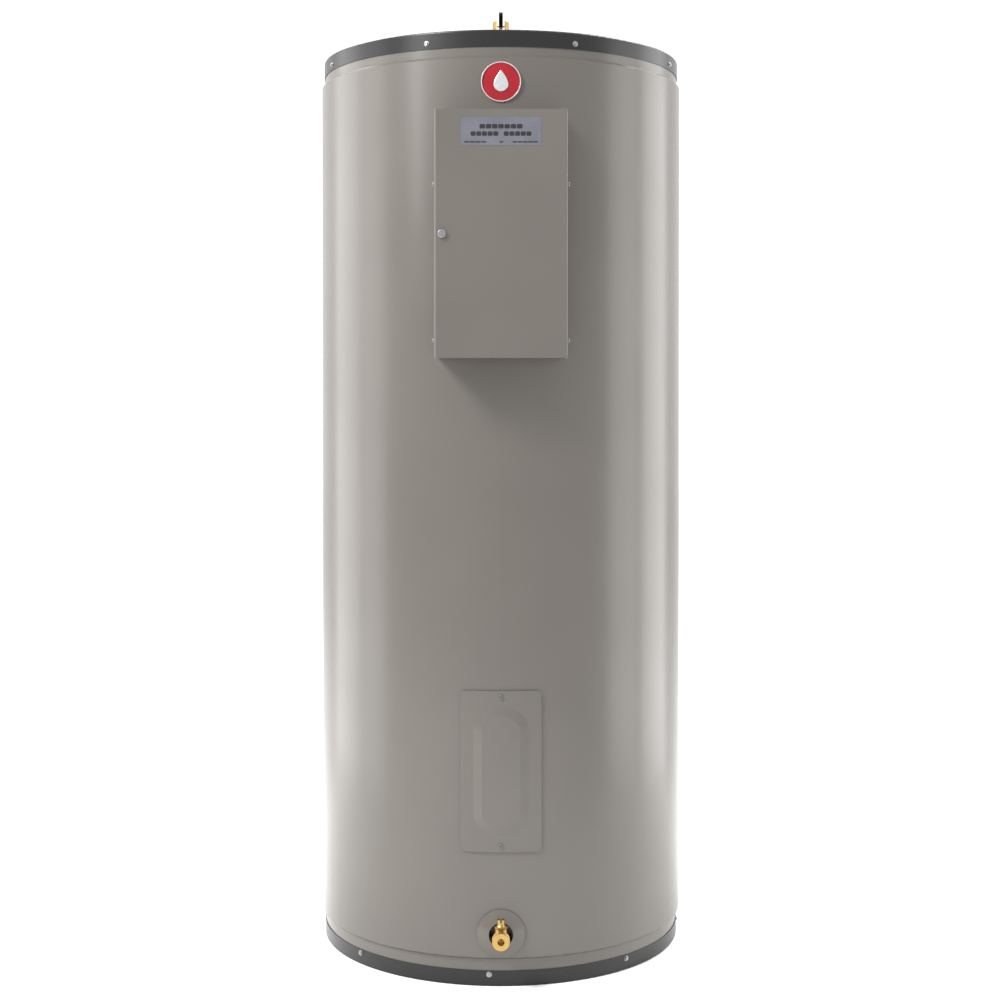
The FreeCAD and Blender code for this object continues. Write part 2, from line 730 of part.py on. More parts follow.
def make_pipes():
    """Water nipples, dip tube, anode, grommets and the cap over the anode."""
    foot = f"({SPUD_TOP} - spud_length + 4)"
    collar = "(heater_height + pipe_rise - pipe_end)"
    for name, label, x in (("ColdNipple", "cold_inlet_nipple", "pipe_offset"), ("HotNipple", "hot_outlet_nipple", "-pipe_offset")):
        stem = tube(f"{name}Stem", "thread_radius", "pipe_bore", f"{collar} - {foot}", (x, 0, foot))
        end = tube(f"{name}End", "pipe_radius", "pipe_bore", "pipe_end", (x, 0, collar))
        node(fuse(name, stem, end), label)
    dip_top = "(heater_height + pipe_rise - 40)"
    dip = tube("dip_tube_pipe", "dip_tube_radius", "dip_tube_radius - dip_tube_wall", f"{dip_top} - dip_tube_foot",
               ("pipe_offset", 0, "dip_tube_foot"))
    flare = tube("dip_tube_flare", "pipe_bore - fit_gap", "dip_tube_radius - dip_tube_wall", "6",
                 ("pipe_offset", 0, f"{dip_top} - 6"))
    node(fuse("DipTube", dip, flare), "dip_tube")
    thread = rod("anode_thread", "thread_radius", "spud_length - 4", (0, "anode_offset", foot))
    head = hexagon("anode_head", "anode_hex", "12", (0, "anode_offset", SPUD_TOP))
    node(fuse("AnodePlug", thread, head), "anode_plug")
    node(rod("AnodeRod", "anode_radius", "anode_length", (0, "anode_offset", f"{foot} - anode_length")), "anode_rod")
    disc = rod("cap_disc", "cap_radius", "cap_sheet", (0, "anode_offset", "heater_height"))
    skirt = tube("cap_skirt", "cap_radius - cap_step - fit_gap", "cap_radius - cap_step - 2", "8", (0, "anode_offset", "heater_height - 8"))
    node(fuse("AnodeCap", disc, skirt), "anode_cap")
    rings = []
    for count, (x, y) in enumerate(PIPES):
        bore = "thread_radius + fit_gap"
        flange = tube(f"grommet_flange_{count}", "pipe_radius + grommet_rim", bore, "grommet_sheet", (x, y, "heater_height"))
        neck = tube(f"grommet_neck_{count}", "pipe_radius + grommet_rim / 2 - fit_gap", bore, "6", (x, y, "heater_height - 6"))
        rings.append(fuse(f"grommet_{count}", flange, neck))
    node(group("Grommets", *rings), "pipe_grommets")


# ---------------------------------------------------------------- relief valve


def make_relief_valve():
    """Temperature and pressure relief valve on the tank's axis: lever to the front, outlet to the back."""
    top = "heater_height"
    seat = f"({top} + valve_seat_rise)"
    roof = f"({top} + valve_roof_rise)"
    foot = f"({SPUD_TOP} - spud_length + 4)"
    outlet = f"({top} + valve_outlet_rise)"
    body = fuse(
        "valve_solid",
        rod("valve_thread", "thread_radius", f"{top} + 6 - {foot}", (0, 0, foot)),
        hexagon("valve_hex", "2 * valve_body_radius", "14", (0, 0, f"{top} + 5")),
        rod("valve_barrel", "valve_body_radius - 1", f"{outlet} + 16 - {top} - 18", (0, 0, f"{top} + 18")),
        rod("valve_outlet", "valve_outlet_bore + 4", "valve_outlet_reach", (0, 0, outlet), BACK),
        cone("valve_shoulder", "valve_body_radius - 1", "valve_bonnet_radius", "4", (0, 0, f"{outlet} + 16")),
        rod("valve_bonnet", "valve_bonnet_radius", f"{top} + valve_ear_rise - {outlet} - 18", (0, 0, f"{outlet} + 18")),
    )
    node(cut(
        "ValveBody", body,
        rod("valve_inlet_tool", "valve_inlet_bore", f"{seat} - {foot}", (0, 0, foot)),
        rod("valve_cavity", "valve_cavity_radius", f"{roof} - 4 - {seat}", (0, 0, seat)),
        rod("valve_outlet_bore_tool", "valve_outlet_bore", "valve_outlet_depth + 1",
            (0, "valve_outlet_reach - valve_outlet_depth", outlet), BACK),
        rod("valve_outlet_port", "valve_inlet_bore", "valve_outlet_reach - valve_outlet_depth", (0, 0, outlet), BACK),
        rod("valve_stem_bore", "valve_stem_radius + stem_running_gap", "8", (0, 0, f"{roof} - 6")),
        block("valve_lever_slot", ("valve_slot", "60", "40"), (0, 0, f"{roof} + 20")),
        rod("valve_pin_bore", "lever_pin_radius + running_gap", "60",
            (-30, "lever_pin_back", f"{top} + lever_pin_rise"), RIGHT),
    ), "relief_valve_body")
    node(rod("ValveDisc", "valve_disc_radius", "valve_disc_sheet", (0, 0, seat)), "relief_valve_disc")
    node(rod("ValveStem", "valve_stem_radius", f"{top} + lever_pin_rise - 2 * valve_disc_sheet - {seat}",
             (0, 0, f"{seat} + valve_disc_sheet")),
         "relief_valve_stem")
    spring_top = f"({roof} - 4 - 1.2)"
    helix = primitive("Helix", "valve_helix", (0, 0, f"{seat} + 4.2"), Radius="valve_coil_radius",
                      Height=f"{spring_top} - {seat} - 4.2", Pitch=f"({spring_top} - {seat} - 4.2) / valve_turns")
    wire = primitive("Circle", "valve_wire", ("valve_coil_radius", 0, f"{seat} + 4.2"), FRONT, Radius="valve_wire_radius")
    coil = DOC.addObject("Part::Sweep", "ValveSpring")
    coil.Sections = [wire]
    coil.Spine = (helix, ["Edge1"])
    coil.Solid = True
    coil.Frenet = True
    node(coil, "relief_valve_spring")
    pin = rod("LeverPin", "lever_pin_radius", "2 * valve_bonnet_radius - 3",
              ("-valve_bonnet_radius + 1.5", "lever_pin_back", f"{top} + lever_pin_rise"), RIGHT)
    node(pin, "relief_lever_pin")
    pin_y, pin_z = "lever_pin_back", f"({top} + lever_pin_rise)"
    tip_y, tip_z = "(lever_pin_back - lever_reach)", f"({top} + lever_tip_rise)"
    arm = extruded("LeverArm", "YZ_Plane", [
        (pin_y, f"{pin_z} + 3.2"),
        (f"{pin_y} - 18", f"{pin_z} + 3.2"),
        (tip_y, f"{tip_z} + 1"),
        (tip_y, f"{tip_z} - 1.5"),
        (f"{pin_y} - 18", f"{pin_z} + 0.4"),
        (f"{pin_y} - 10", f"{pin_z} - 1"),
        (pin_y, f"{pin_z} - 3.2"),
    ], "lever_width", midplane=True)
    boss = rod("lever_boss", "3.2", "lever_width", ("-lever_width / 2", pin_y, pin_z), RIGHT)
    curl = rod("lever_curl", "lever_tip_radius", "lever_width", ("-lever_width / 2", tip_y, tip_z), RIGHT)
    pin_hole = rod("lever_pin_hole", "lever_pin_radius + running_gap", "40", (-20, pin_y, pin_z), RIGHT)
    node(cut("Lever", fuse("lever_solid", arm, boss, curl), pin_hole), "relief_test_lever")
    node(rod("Probe", "3", f"{seat} - skin_gap - ({foot} - probe_length)", (0, 0, f"{foot} - probe_length")), "relief_probe")


# ---------------------------------------------------------------- elements and thermostats


def make_elements():
    """Screw-in heating elements: plug, hairpin sheath, terminals and gasket."""
    sheaths, terminals, gaskets = [], [], []
    for name, height in (("upper", UPPER_ELEMENT), ("lower", LOWER_ELEMENT)):
        seat = ("0", f"-{PLUG_SEAT}", height)
        thread = rod(f"{name}_plug_thread", "element_bore - skin_gap", "plug_thread", seat, BACK)
        head = hexagon(f"{name}_plug_head", "element_hex", "element_hex_depth", seat, FRONT)
        node(fuse(f"{name}_plug", thread, head), f"{name}_element_plug")
        legs = []
        for side in ("-", ""):
            legs.append(rod(f"{name}_leg{side}", "sheath_radius", "element_length",
                            (f"{side}sheath_spread", f"-({PLUG_SEAT} - plug_thread)", height), BACK))
        bend = primitive("Torus", f"{name}_bend", ("0", f"element_length - ({PLUG_SEAT} - plug_thread)", height),
                         Radius1="sheath_spread", Radius2="sheath_radius")
        half = block(f"{name}_bend_half", ("60", "60", "60"), ("0", f"element_length - ({PLUG_SEAT} - plug_thread) + 30", height))
        sheaths.append(fuse(f"{name}_sheath", common(f"{name}_turn", bend, half), *legs))
        face = f"({PLUG_SEAT} + element_hex_depth)"
        insulator = rod(f"{name}_insulator", "insulator_radius", "insulator_depth", ("0", f"-{face}", height), FRONT)
        posts = []
        for side in ("-", ""):
            posts.append(rod(f"{name}_post{side}", "terminal_radius", "terminal_height",
                             (f"{side}terminal_offset", f"-({face} + insulator_depth)", height), FRONT))
        terminals.append(fuse(f"{name}_terminal", insulator, *posts))
        gaskets.append(tube(f"{name}_gasket", ELEMENT_SPUD, "element_bore", "gasket_sheet",
                            ("0", f"-{SPUD_FACE}", height), FRONT))
    node(group("Sheaths", *sheaths), "element_sheaths")
    node(group("Terminals", *terminals), "element_terminals")
    node(group("Gaskets", *gaskets), "element_gaskets")


def switch_case(name, height, foot):
    """A moulded switch case that lies against the tank wall."""
    half = "(thermostat_width / 2)"
    return slab(name, (f"-{half}", half), (f"-{THERMOSTAT_FACE}", f"-{THERMOSTAT_BACK}"), (foot, f"{foot} + {height}"))


def make_thermostats():
    """Two thermostats with dials, the high-limit switch with its button, and their spring brackets."""
    brackets = []
    for name, element in (("upper", UPPER_ELEMENT), ("lower", LOWER_ELEMENT)):
        foot = f"({element} + thermostat_rise)"
        middle = f"({foot} + thermostat_height / 2)"
        case = switch_case(f"{name}_case", "thermostat_height", foot)
        shaft_hole = rod(f"{name}_shaft_hole", "dial_shaft + running_gap", "10", (0, f"-({THERMOSTAT_FACE} - 8)", middle), FRONT)
        node(cut(f"{name}_switch", case, shaft_hole), f"{name}_thermostat")
        disc = rod(f"{name}_disc", "dial_radius", "dial_depth", (0, f"-({THERMOSTAT_FACE} + skin_gap)", middle), FRONT)
        shaft = rod(f"{name}_shaft", "dial_shaft", "7 + skin_gap", (0, f"-({THERMOSTAT_FACE} - 7)", middle), FRONT)
        slot = block(f"{name}_dial_slot", ("2", "3", "13"), (0, f"-({THERMOSTAT_FACE} + skin_gap + dial_depth)", middle))
        node(cut(f"{name}_dial", fuse(f"{name}_dial_solid", disc, shaft), slot), f"{name}_thermostat_dial")
        reach = "thermostat_height + limit_height + thermostat_spacing" if name == "upper" else "thermostat_height"
        inner = "(thermostat_width / 2 + skin_gap)"
        for side, sign in (("left", -1), ("right", 1)):
            arm_x = sorted((f"{inner} * {sign}", f"({inner} + bracket_sheet) * {sign}"), key=number)
            lip_x = sorted((f"({inner} - bracket_lip) * {sign}", f"({inner} + bracket_sheet) * {sign}"), key=number)
            z_range = (f"{foot} + 6", f"{foot} + {reach} - 6")
            arm = slab(f"{name}_{side}_arm", arm_x, (f"-({THERMOSTAT_FACE} + 1.5)", f"-{THERMOSTAT_BACK}"), z_range)
            lip = slab(f"{name}_{side}_lip", lip_x, (f"-({THERMOSTAT_FACE} + 1.5)", f"-({THERMOSTAT_FACE} + skin_gap)"), z_range)
            brackets.append(fuse(f"{name}_{side}_bracket", arm, lip))
    node(group("Brackets", *brackets), "thermostat_brackets")

    foot = f"({UPPER_ELEMENT} + thermostat_rise + thermostat_height + thermostat_spacing)"
    middle = f"({foot} + limit_height / 2)"
    case = switch_case("limit_case", "limit_height", foot)
    hole = rod("limit_hole", "button_radius + running_gap", "20", (0, f"-({THERMOSTAT_FACE} - 9)", middle), FRONT)
    node(cut("LimitSwitch", case, hole), "high_limit_switch")
    node(rod("LimitButton", "button_radius", "10", (0, f"-({THERMOSTAT_FACE} - 6)", middle), FRONT), "high_limit_reset_button")


# ---------------------------------------------------------------- control box


def box_side_screws():
    """Four painted hexagon-head screws, two in each side of the control box."""
    screws = []
    for row, drop in enumerate(("side_screw_drop", "side_screw_drop + side_screw_spacing")):
        for side, turn, sign in (("left", LEFT, "-"), ("right", RIGHT, "")):
            height = f"{BOX_TOP} - ({drop})"
            depth = f"-({DOOR_FACE} - side_screw_setback)"
            shank = rod(f"side_shank_{side}_{row}", "side_screw_shank", "box_sheet + side_screw_reach",
                        (f"{sign}({BOX_HALF} - box_sheet - side_screw_reach)", depth, height), turn)
            head = rod(f"side_head_{side}_{row}", "side_screw_head", "side_screw_cap",
                       (f"{sign}{BOX_HALF}", depth, height), turn)
            screws.append(fuse(f"side_screw_{side}_{row}", shank, head))
    return screws


def box_side_bores(name):
    """Clearance holes across the control box for its side screws."""
    bores = []
    for row, drop in enumerate(("side_screw_drop", "side_screw_drop + side_screw_spacing")):
        at = ("-150", f"-({DOOR_FACE} - side_screw_setback)", f"{BOX_TOP} - ({drop})")
        bores.append(rod(f"{name}_{row}", "side_screw_shank + fit_gap", "300", at, RIGHT))
    return fuse(name, *bores)


def upper_window(name):
    """The opening behind the control box, towards the upper element and thermostat."""
    half = "(window_width / 2)"
    z_range = (UPPER_WINDOW_FOOT, f"{UPPER_WINDOW_FOOT} + upper_window")
    return slab(name, (f"-{half}", half), (f"-({PANEL_FACE} + 5)", "-200"), z_range)


def make_control_box():
    """Box body, chassis, screws, pivot pins and knockout plugs."""
    inner = f"({BOX_HALF} - box_sheet)"
    body = cut(
        "BoxBody",
        slab("box_outside", (f"-{BOX_HALF}", BOX_HALF), (f"-{BOX_FRONT}", "-260"),
             (f"{BOX_FOOT} + {SHELF}", f"{BOX_TOP} - {SHELF}")),
        slab("box_front_cavity", (f"-{inner}", inner), (f"-{BOX_FRONT} - 5", f"-{PANEL_FACE}"), (CAVITY_FOOT, CAVITY_TOP)),
        slab("box_rear_cavity", (f"-{inner}", inner), (f"-{BOX_BACK}", "-200"), (CAVITY_FOOT, CAVITY_TOP)),
        rod("box_saddle", "jacket_radius + 0.4", "heater_height", (0, 0, 0)),
        slab("box_hinge_relief", (f"{inner} - 1", "box_width"), (f"-{DOOR_FACE}", f"-({DOOR_FACE} - hinge_relief)"),
             (CAVITY_FOOT, CAVITY_TOP)),
        slab("box_keeper_slot", ("-box_width", f"-{inner} + 1"), (f"-({BOX_FRONT} - 6)", f"-({BOX_FRONT} - 13)"),
             (f"{LATCH_Z} - 6.5", f"{LATCH_Z} + 6.5")),
        upper_window("box_window"),
        box_side_bores("box_side_bores"),
        rod("box_pivot_bore", "pivot_radius + running_gap", "heater_height", (PIVOT_X, f"-{PIVOT_Y}", 0)),
        rod("box_conduit_hole", "conduit_radius", "30", ("-conduit_offset", f"-({DOOR_FACE} - conduit_setback)", f"{BOX_TOP} - 20")),
        rod("box_knockout_top", "conduit_radius", "30", ("conduit_offset", f"-({DOOR_FACE} - conduit_setback)", f"{BOX_TOP} - 20")),
        rod("box_knockout_foot", "conduit_radius", "30", ("0", f"-({DOOR_FACE} - conduit_setback)", f"{BOX_FOOT} - 10")),
    )
    node(body, "control_box")
    edge = f"({inner} - fit_gap)"
    z_range = (f"{CAVITY_FOOT} + 0.5", f"{CAVITY_TOP} - 0.5")
    chassis = cut(
        "Chassis",
        slab("chassis_outside", (f"-{edge}", edge), (f"-({DOOR_FACE} - chassis_setback)", f"-{PANEL_FACE}"), z_range),
        slab("chassis_cavity", (f"-({edge} - box_sheet)", f"{edge} - box_sheet"),
             (f"-{DOOR_FACE}", f"-({PANEL_FACE} + box_sheet)"), (f"{CAVITY_FOOT} - 5", f"{CAVITY_TOP} + 5")),
        upper_window("chassis_window"),
        box_side_bores("chassis_side_bores"),
    )
    node(chassis, "control_box_chassis")
    node(group("SideScrews", *box_side_screws()), "control_box_screws")
    pins = []
    for name, start, head in (
        ("top", f"({CAVITY_TOP} - pivot_reach)", f"({BOX_TOP} + pivot_cap_gap)"),
        ("foot", f"({BOX_FOOT} - pivot_cap_gap - pivot_cap)", f"({BOX_FOOT} - pivot_cap_gap - pivot_cap)"),
    ):
        length = "(pivot_reach + box_sheet + door_gap + door_sheet + pivot_cap_gap + pivot_cap)"
        pin = rod(f"pivot_{name}", "pivot_radius", length, (PIVOT_X, f"-{PIVOT_Y}", start))
        cap = rod(f"pivot_{name}_cap", "pivot_radius + pivot_cap", "pivot_cap", (PIVOT_X, f"-{PIVOT_Y}", head))
        pins.append(fuse(f"pivot_{name}_pin", pin, cap))
    node(group("PivotPins", *pins), "door_pivot_pins")
    plugs = []
    top_face, foot_face = f"({BOX_TOP} - {SHELF})", f"({BOX_FOOT} + {SHELF})"
    for name, x, rim_foot, neck_foot in (
        ("top", "conduit_offset", top_face, f"{top_face} - plug_neck"),
        ("foot", "0", f"{foot_face} - plug_rim", foot_face),
    ):
        depth = f"-({DOOR_FACE} - conduit_setback)"
        rim = rod(f"plug_{name}_rim", "conduit_radius + 2 * plug_rim", "plug_rim", (x, depth, rim_foot))
        neck = rod(f"plug_{name}_neck", "conduit_radius - fit_gap", "plug_neck", (x, depth, neck_foot))
        plugs.append(fuse(f"plug_{name}", rim, neck))
    node(group("Plugs", *plugs), "knockout_plugs")


def make_door():
    """The flat door with folded edges, the rating label, and the quarter-turn latch."""
    half = "(box_width / 2)"
    back = f"({DOOR_FACE} - door_return)"
    outside = slab("door_outside", (f"-{half}", half), (f"-{DOOR_FACE}", f"-{back}"), (BOX_FOOT, BOX_TOP))
    face = number(DOOR_FACE)
    bent = rounded("door_bent", outside, "door_corner",
                   lambda edge: is_straight(edge, Vector(0, 0, 1)) and abs(edge.CenterOfMass.y + face) < 0.01)
    inside = slab("door_inside", (f"-{half} + door_sheet", f"{half} - door_sheet"), (f"-{DOOR_FACE} + door_sheet", "-200"),
                  (f"{BOX_FOOT} + door_sheet", f"{BOX_TOP} - door_sheet"))
    rear_face = number(f"{DOOR_FACE} - door_sheet")
    hollow = rounded("door_hollow", inside, "door_corner - door_sheet",
                     lambda edge: is_straight(edge, Vector(0, 0, 1)) and abs(edge.CenterOfMass.y + rear_face) < 0.01)
    reliefs = []
    for name, z_range in (
        ("top", (f"{CAVITY_TOP} - 0.5", f"{BOX_TOP} - door_sheet")),
        ("foot", (f"{BOX_FOOT} + door_sheet", f"{CAVITY_FOOT} + 0.5")),
    ):
        reliefs.append(slab(f"door_{name}_relief", (f"{half} - door_corner - 1", "box_width"),
                            (f"-{DOOR_FACE} + door_sheet", "-200"), z_range))
    pivot = rod("door_pivot_bore", "pivot_radius + running_gap", "heater_height", (PIVOT_X, f"-{PIVOT_Y}", 0))
    latch_hole = rod("door_latch_hole", "latch_barrel + running_gap", "2 * door_return",
                     (f"-{LATCH_X}", f"-({DOOR_FACE} - door_return)", LATCH_Z), FRONT)
    node(cut("Door", bent, hollow, pivot, latch_hole, *reliefs), "control_box_door")
    node(slab("Label", ("-label_width / 2", "label_width / 2"), (f"-({DOOR_FACE} + label_sheet)", f"-{DOOR_FACE}"),
              (f"{BOX_TOP} - label_drop - label_height / 2", f"{BOX_TOP} - label_drop + label_height / 2")), "rating_label")

    at = (f"-{LATCH_X}", f"-({DOOR_FACE} + skin_gap)", LATCH_Z)
    head = rod("latch_head_disc", "latch_head", "latch_cap", at, FRONT)
    barrel = rod("latch_barrel_bar", "latch_barrel", "latch_reach", at, BACK)
    slot = block("latch_slot", ("1.6", "3", "8"), (f"-{LATCH_X}", f"-({DOOR_FACE} + skin_gap + latch_cap)", LATCH_Z))
    node(cut("Latch", fuse("latch_solid", head, barrel), slot), "door_latch")
    cam_y = (f"-({DOOR_FACE} - cam_setback)", f"-({DOOR_FACE} - cam_setback) + cam_sheet")
    cam = slab("LatchCam", (f"-{LATCH_X} - cam_width / 2", f"-{LATCH_X} + cam_width / 2"), cam_y,
               (f"{LATCH_Z} - cam_length", f"{LATCH_Z} + cam_heel"))
    node(cam, "door_latch_cam")


def run_of_wire(radius, points):
    """A wire along straight runs joined by tangent arcs."""
    edges = []
    bend = 3 * radius
    corner = points[0]
    for index in range(1, len(points) - 1):
        before = (points[index - 1] - points[index]).normalize()
        after = (points[index + 1] - points[index]).normalize()
        first, last = points[index] + before * bend, points[index] + after * bend
        normal = (before + after).normalize()
        middle = points[index] + normal * (bend * (2**0.5 - 1))
        edges.append(Part.LineSegment(corner, first).toShape())
        edges.append(Part.Arc(first, middle, last).toShape())
        corner = last
    edges.append(Part.LineSegment(corner, points[-1]).toShape())
    path = Part.Wire(edges)
    section = Part.Wire([Part.Circle(points[0], points[1] - points[0], radius).toShape()])
    return path.makePipeShell([section], True, True)


SWITCHGEAR_BED = f"({PANEL_FACE} + box_sheet)"
SWITCHGEAR_FOOT = f"({BOX_TOP} - switchgear_drop)"


def make_switchgear():
    """Contactor, terminal block and the wires between them."""
    floor, rise = SWITCHGEAR_BED, SWITCHGEAR_FOOT
    case = slab("contactor_case", ("contactor_foot", "contactor_foot + contactor_width"),
                (f"-({floor} + contactor_depth)", f"-{floor}"), (rise, f"{rise} + contactor_height"))
    centre = "(contactor_foot + contactor_width / 2)"
    armature_x = (f"{centre} - armature_width / 2", f"{centre} + armature_width / 2")
    armature_z = (f"{rise} + armature_rise", f"{rise} + armature_rise + armature_height")
    pocket = slab("contactor_pocket", (f"{armature_x[0]} - skin_gap", f"{armature_x[1]} + skin_gap"),
                  (f"-({floor} + contactor_depth + 4)", f"-({floor} + armature_back - 4)"),
                  (f"{armature_z[0]} - skin_gap", f"{armature_z[1]} + skin_gap"))
    ledges = []
    for name, low, high in (("low", "-1", "13"), ("high", "contactor_height - 13", "contactor_height + 1")):
        ledges.append(slab(f"contactor_{name}_step", ("contactor_foot - 8", "contactor_foot + contactor_width + 8"),
                           (f"-({floor} + contactor_depth + 4)", f"-({floor} + contactor_ledge)"),
                           (f"{rise} + {low}", f"{rise} + {high}")))
    node(cut("Contactor", case, pocket, *ledges), "contactor")
    node(slab("Armature", armature_x, (f"-({floor} + armature_front)", f"-({floor} + armature_back)"), armature_z),
         "contactor_armature")

    block_z = (f"{rise} + block_rise", f"{rise} + block_rise + block_height")
    bed = slab("block_bed", ("block_foot", "block_foot + block_width"), (f"-({floor} + block_depth)", f"-{floor}"), block_z)
    fins, posts = [], []
    for count in range(4):
        side = f"block_foot + {count} * block_pitch"
        fins.append(slab(f"block_fin_{count}", (side, f"{side} + block_fin"), (f"-({floor} + block_fin_depth)", f"-{floor}"),
                         block_z))
    for count in range(3):
        for row in range(2):
            posts.append(rod(f"block_post_{count}_{row}", "post_radius", "post_radius",
                             (f"block_foot + post_offset + {count} * block_pitch", f"-({floor} + block_depth)",
                              f"{rise} + post_rise + {row} * post_spacing"), FRONT))
    node(fuse("TerminalBlock", bed, *fins, *posts), "terminal_block")

    # The three supply wires drop from the block, cross under the contactor and rise into it, each in its own layer.
    radius = number("wire_radius")
    gap, near, wires = number("skin_gap"), -number(floor), []
    case_foot, block_under = number(rise) - gap, number(f"{rise} + block_rise") - gap
    for count in range(3):
        x_block = number(f"block_foot + post_offset + {count} * block_pitch")
        x_case = number("contactor_foot + 12") + 23.0 * count
        depth = near - 8.0 - 5.5 * count
        drop = number(rise) - 10.0 - 5.0 * count
        wires.append(run_of_wire(radius, [
            Vector(x_block, depth, block_under),
            Vector(x_block, depth, drop),
            Vector(x_case, depth, drop),
            Vector(x_case, depth, case_foot),
        ]))
    # Two more go down to the thermostats through the window behind the box.
    for x_start in (number("contactor_foot + 8"), number("contactor_foot + 16")):
        depth = near - 32.0
        deep = -number(f"{THERMOSTAT_FACE} + skin_gap")
        turn_z = number(f"{UPPER_WINDOW_FOOT} + upper_window - 16") + x_start - number("contactor_foot + 16")
        wires.append(run_of_wire(radius, [
            Vector(x_start, depth, case_foot),
            Vector(x_start, depth, turn_z),
            Vector(x_start / 5, depth, turn_z),
            Vector(x_start / 5, deep, turn_z),
        ]))
    item = DOC.addObject("Part::Feature", "Wires")
    item.Shape = Part.makeCompound(wires)
    node(item, "control_wires")


# ---------------------------------------------------------------- lower cover


def corner_block(name, width, height, foot, radius):
    """A rounded rectangle that runs from the axis to well in front of the jacket."""
    base = slab(f"{name}_block", (f"-({width}) / 2", f"({width}) / 2"), (f"-{DOOR_FACE}", f"-{TANK}"), (foot, f"{foot} + {height}"))
    return rounded(name, base, radius, lambda edge: is_straight(edge, Vector(0, 1, 0)))


def stadium(name, width, height, middle, distance):
    """An upright oblong with round ends, as a sketch at a distance in front of the axis."""
    sketch = DOC.addObject("Sketcher::SketchObject", name)
    sketch.Placement = Placement(Vector(0, 0, 0), FRONT)
    sketch.setExpression("Placement.Base.y", bound(f"-({distance})"))
    sketch.setExpression("Placement.Base.z", bound(middle))
    radius, straight = number(f"({width}) / 2"), number(f"({height} - {width}) / 2")
    corners = [Vector(x * radius, y * straight, 0) for x, y in ((-1, 1), (-1, -1), (1, -1), (1, 1))]
    sketch.addGeometry(Part.LineSegment(corners[0], corners[1]), False)
    foot_circle = Part.Circle(Vector(0, -straight, 0), Vector(0, 0, 1), radius)
    sketch.addGeometry(Part.ArcOfCircle(foot_circle, foot_circle.parameter(corners[1]), foot_circle.parameter(corners[2])), False)
    sketch.addGeometry(Part.LineSegment(corners[2], corners[3]), False)
    top_circle = Part.Circle(Vector(0, straight, 0), Vector(0, 0, 1), radius)
    sketch.addGeometry(Part.ArcOfCircle(top_circle, top_circle.parameter(corners[3]), top_circle.parameter(corners[0])), False)
    ties = Ties(sketch)
    for first, last in ((0, 1), (1, 2), (2, 3), (3, 0)):
        ties.add("Coincident", first, 2, last, 1)
    for index, x_sign, y_sign in ((0, -1, 1), (1, -1, -1), (2, 1, -1), (3, 1, 1)):
        ties.point(index, 1, f"{x_sign} * ({width}) / 2", f"{y_sign} * ({height} - {width}) / 2")
    for index, sign in ((1, -1), (3, 1)):
        ties.size("DistanceY", -1, 1, index, 3, text=f"{sign} * ({height} - {width}) / 2")
    ties.apply()
    return sketch


def raised_panel(name, shrink, rise):
    """The pressed panel's outer or inner form, on the curve of the cover."""
    middle = "(cover_foot + cover_height / 2)"
    surface = f"(jacket_radius + cover_rise - {shrink})"
    wide = stadium(f"{name}_foot", f"(panel_width - 2 * {shrink})",
                   f"(panel_height + 2 * panel_spread - 2 * {shrink})", middle, f"sqrt({surface}^2 - (panel_width / 2)^2)")
    slim = stadium(f"{name}_face", f"(panel_width - 2 * {shrink} - 2 * panel_slope)",
                   f"(panel_height - 2 * {shrink} - 2 * panel_slope)", middle, f"({surface} + panel_rise)")
    loft = DOC.addObject("Part::Loft", f"{name}_loft")
    loft.Sections = [wide, slim]
    loft.Solid = True
    loft.Ruled = True
    return common(name, loft, rod(f"{name}_limit", rise, "heater_height", (0, 0, 0)))


def make_lower_cover():
    """The curved cover over the lower element, with its raised panel, screws and insulation pad."""
    outer = "(jacket_radius + cover_rise)"
    outside = common("cover_outside", corner_block("cover_outline", "cover_width", "cover_height", "cover_foot", "cover_corner"),
                     rod("cover_outer", outer, "heater_height", (0, 0, 0)))
    sheet = "cover_sheet"
    inside = common("cover_inside", corner_block("cover_inner_outline", f"cover_width - 2 * {sheet}", f"cover_height - 2 * {sheet}",
                                                 f"(cover_foot + {sheet})", f"(cover_corner - {sheet})"),
                    rod("cover_inner", f"{outer} - {sheet}", "heater_height", (0, 0, 0)))
    panel_face = "(jacket_radius + cover_rise + panel_rise)"
    mound = raised_panel("mound", "0", panel_face)
    hollow = raised_panel("mound_hollow", sheet, f"{panel_face} - {sheet}")
    shell = cut("cover_shell", fuse("cover_solid", outside, mound), inside, hollow,
                rod("cover_jacket", "jacket_radius + skin_gap", "heater_height", (0, 0, 0)))
    holes = [front_hole(f"cover_hole_{count}", "cover_screw_hole", "0", height) for count, height in enumerate(COVER_SCREW_RISES)]
    node(cut("Cover", shell, *holes), "lower_access_cover")
    screws = []
    for count, height in enumerate(COVER_SCREW_RISES):
        head = rod(f"cover_head_{count}", "cover_screw_head", "cover_screw_cap", (0, f"-{outer}", height), FRONT)
        shank = rod(f"cover_shank_{count}", "cover_screw_shank", "cover_screw_length", (0, f"-{outer}", height), BACK)
        screws.append(fuse(f"cover_screw_{count}", head, shank))
    node(group("CoverScrews", *screws), "lower_cover_screws")
    pad = slab("pad_block", ("-window_width / 2 + 0.5", "window_width / 2 - 0.5"), (f"-{DOOR_FACE}", f"-({FOAM} - 13)"),
               (f"{LOWER_WINDOW_FOOT} + 0.5", f"{LOWER_WINDOW_FOOT} + lower_window - 0.5"))
    node(common("Pad", pad, rod("pad_limit", FOAM, "heater_height", (0, 0, 0))), "lower_insulation_pad")


# ---------------------------------------------------------------- drain valve and badge


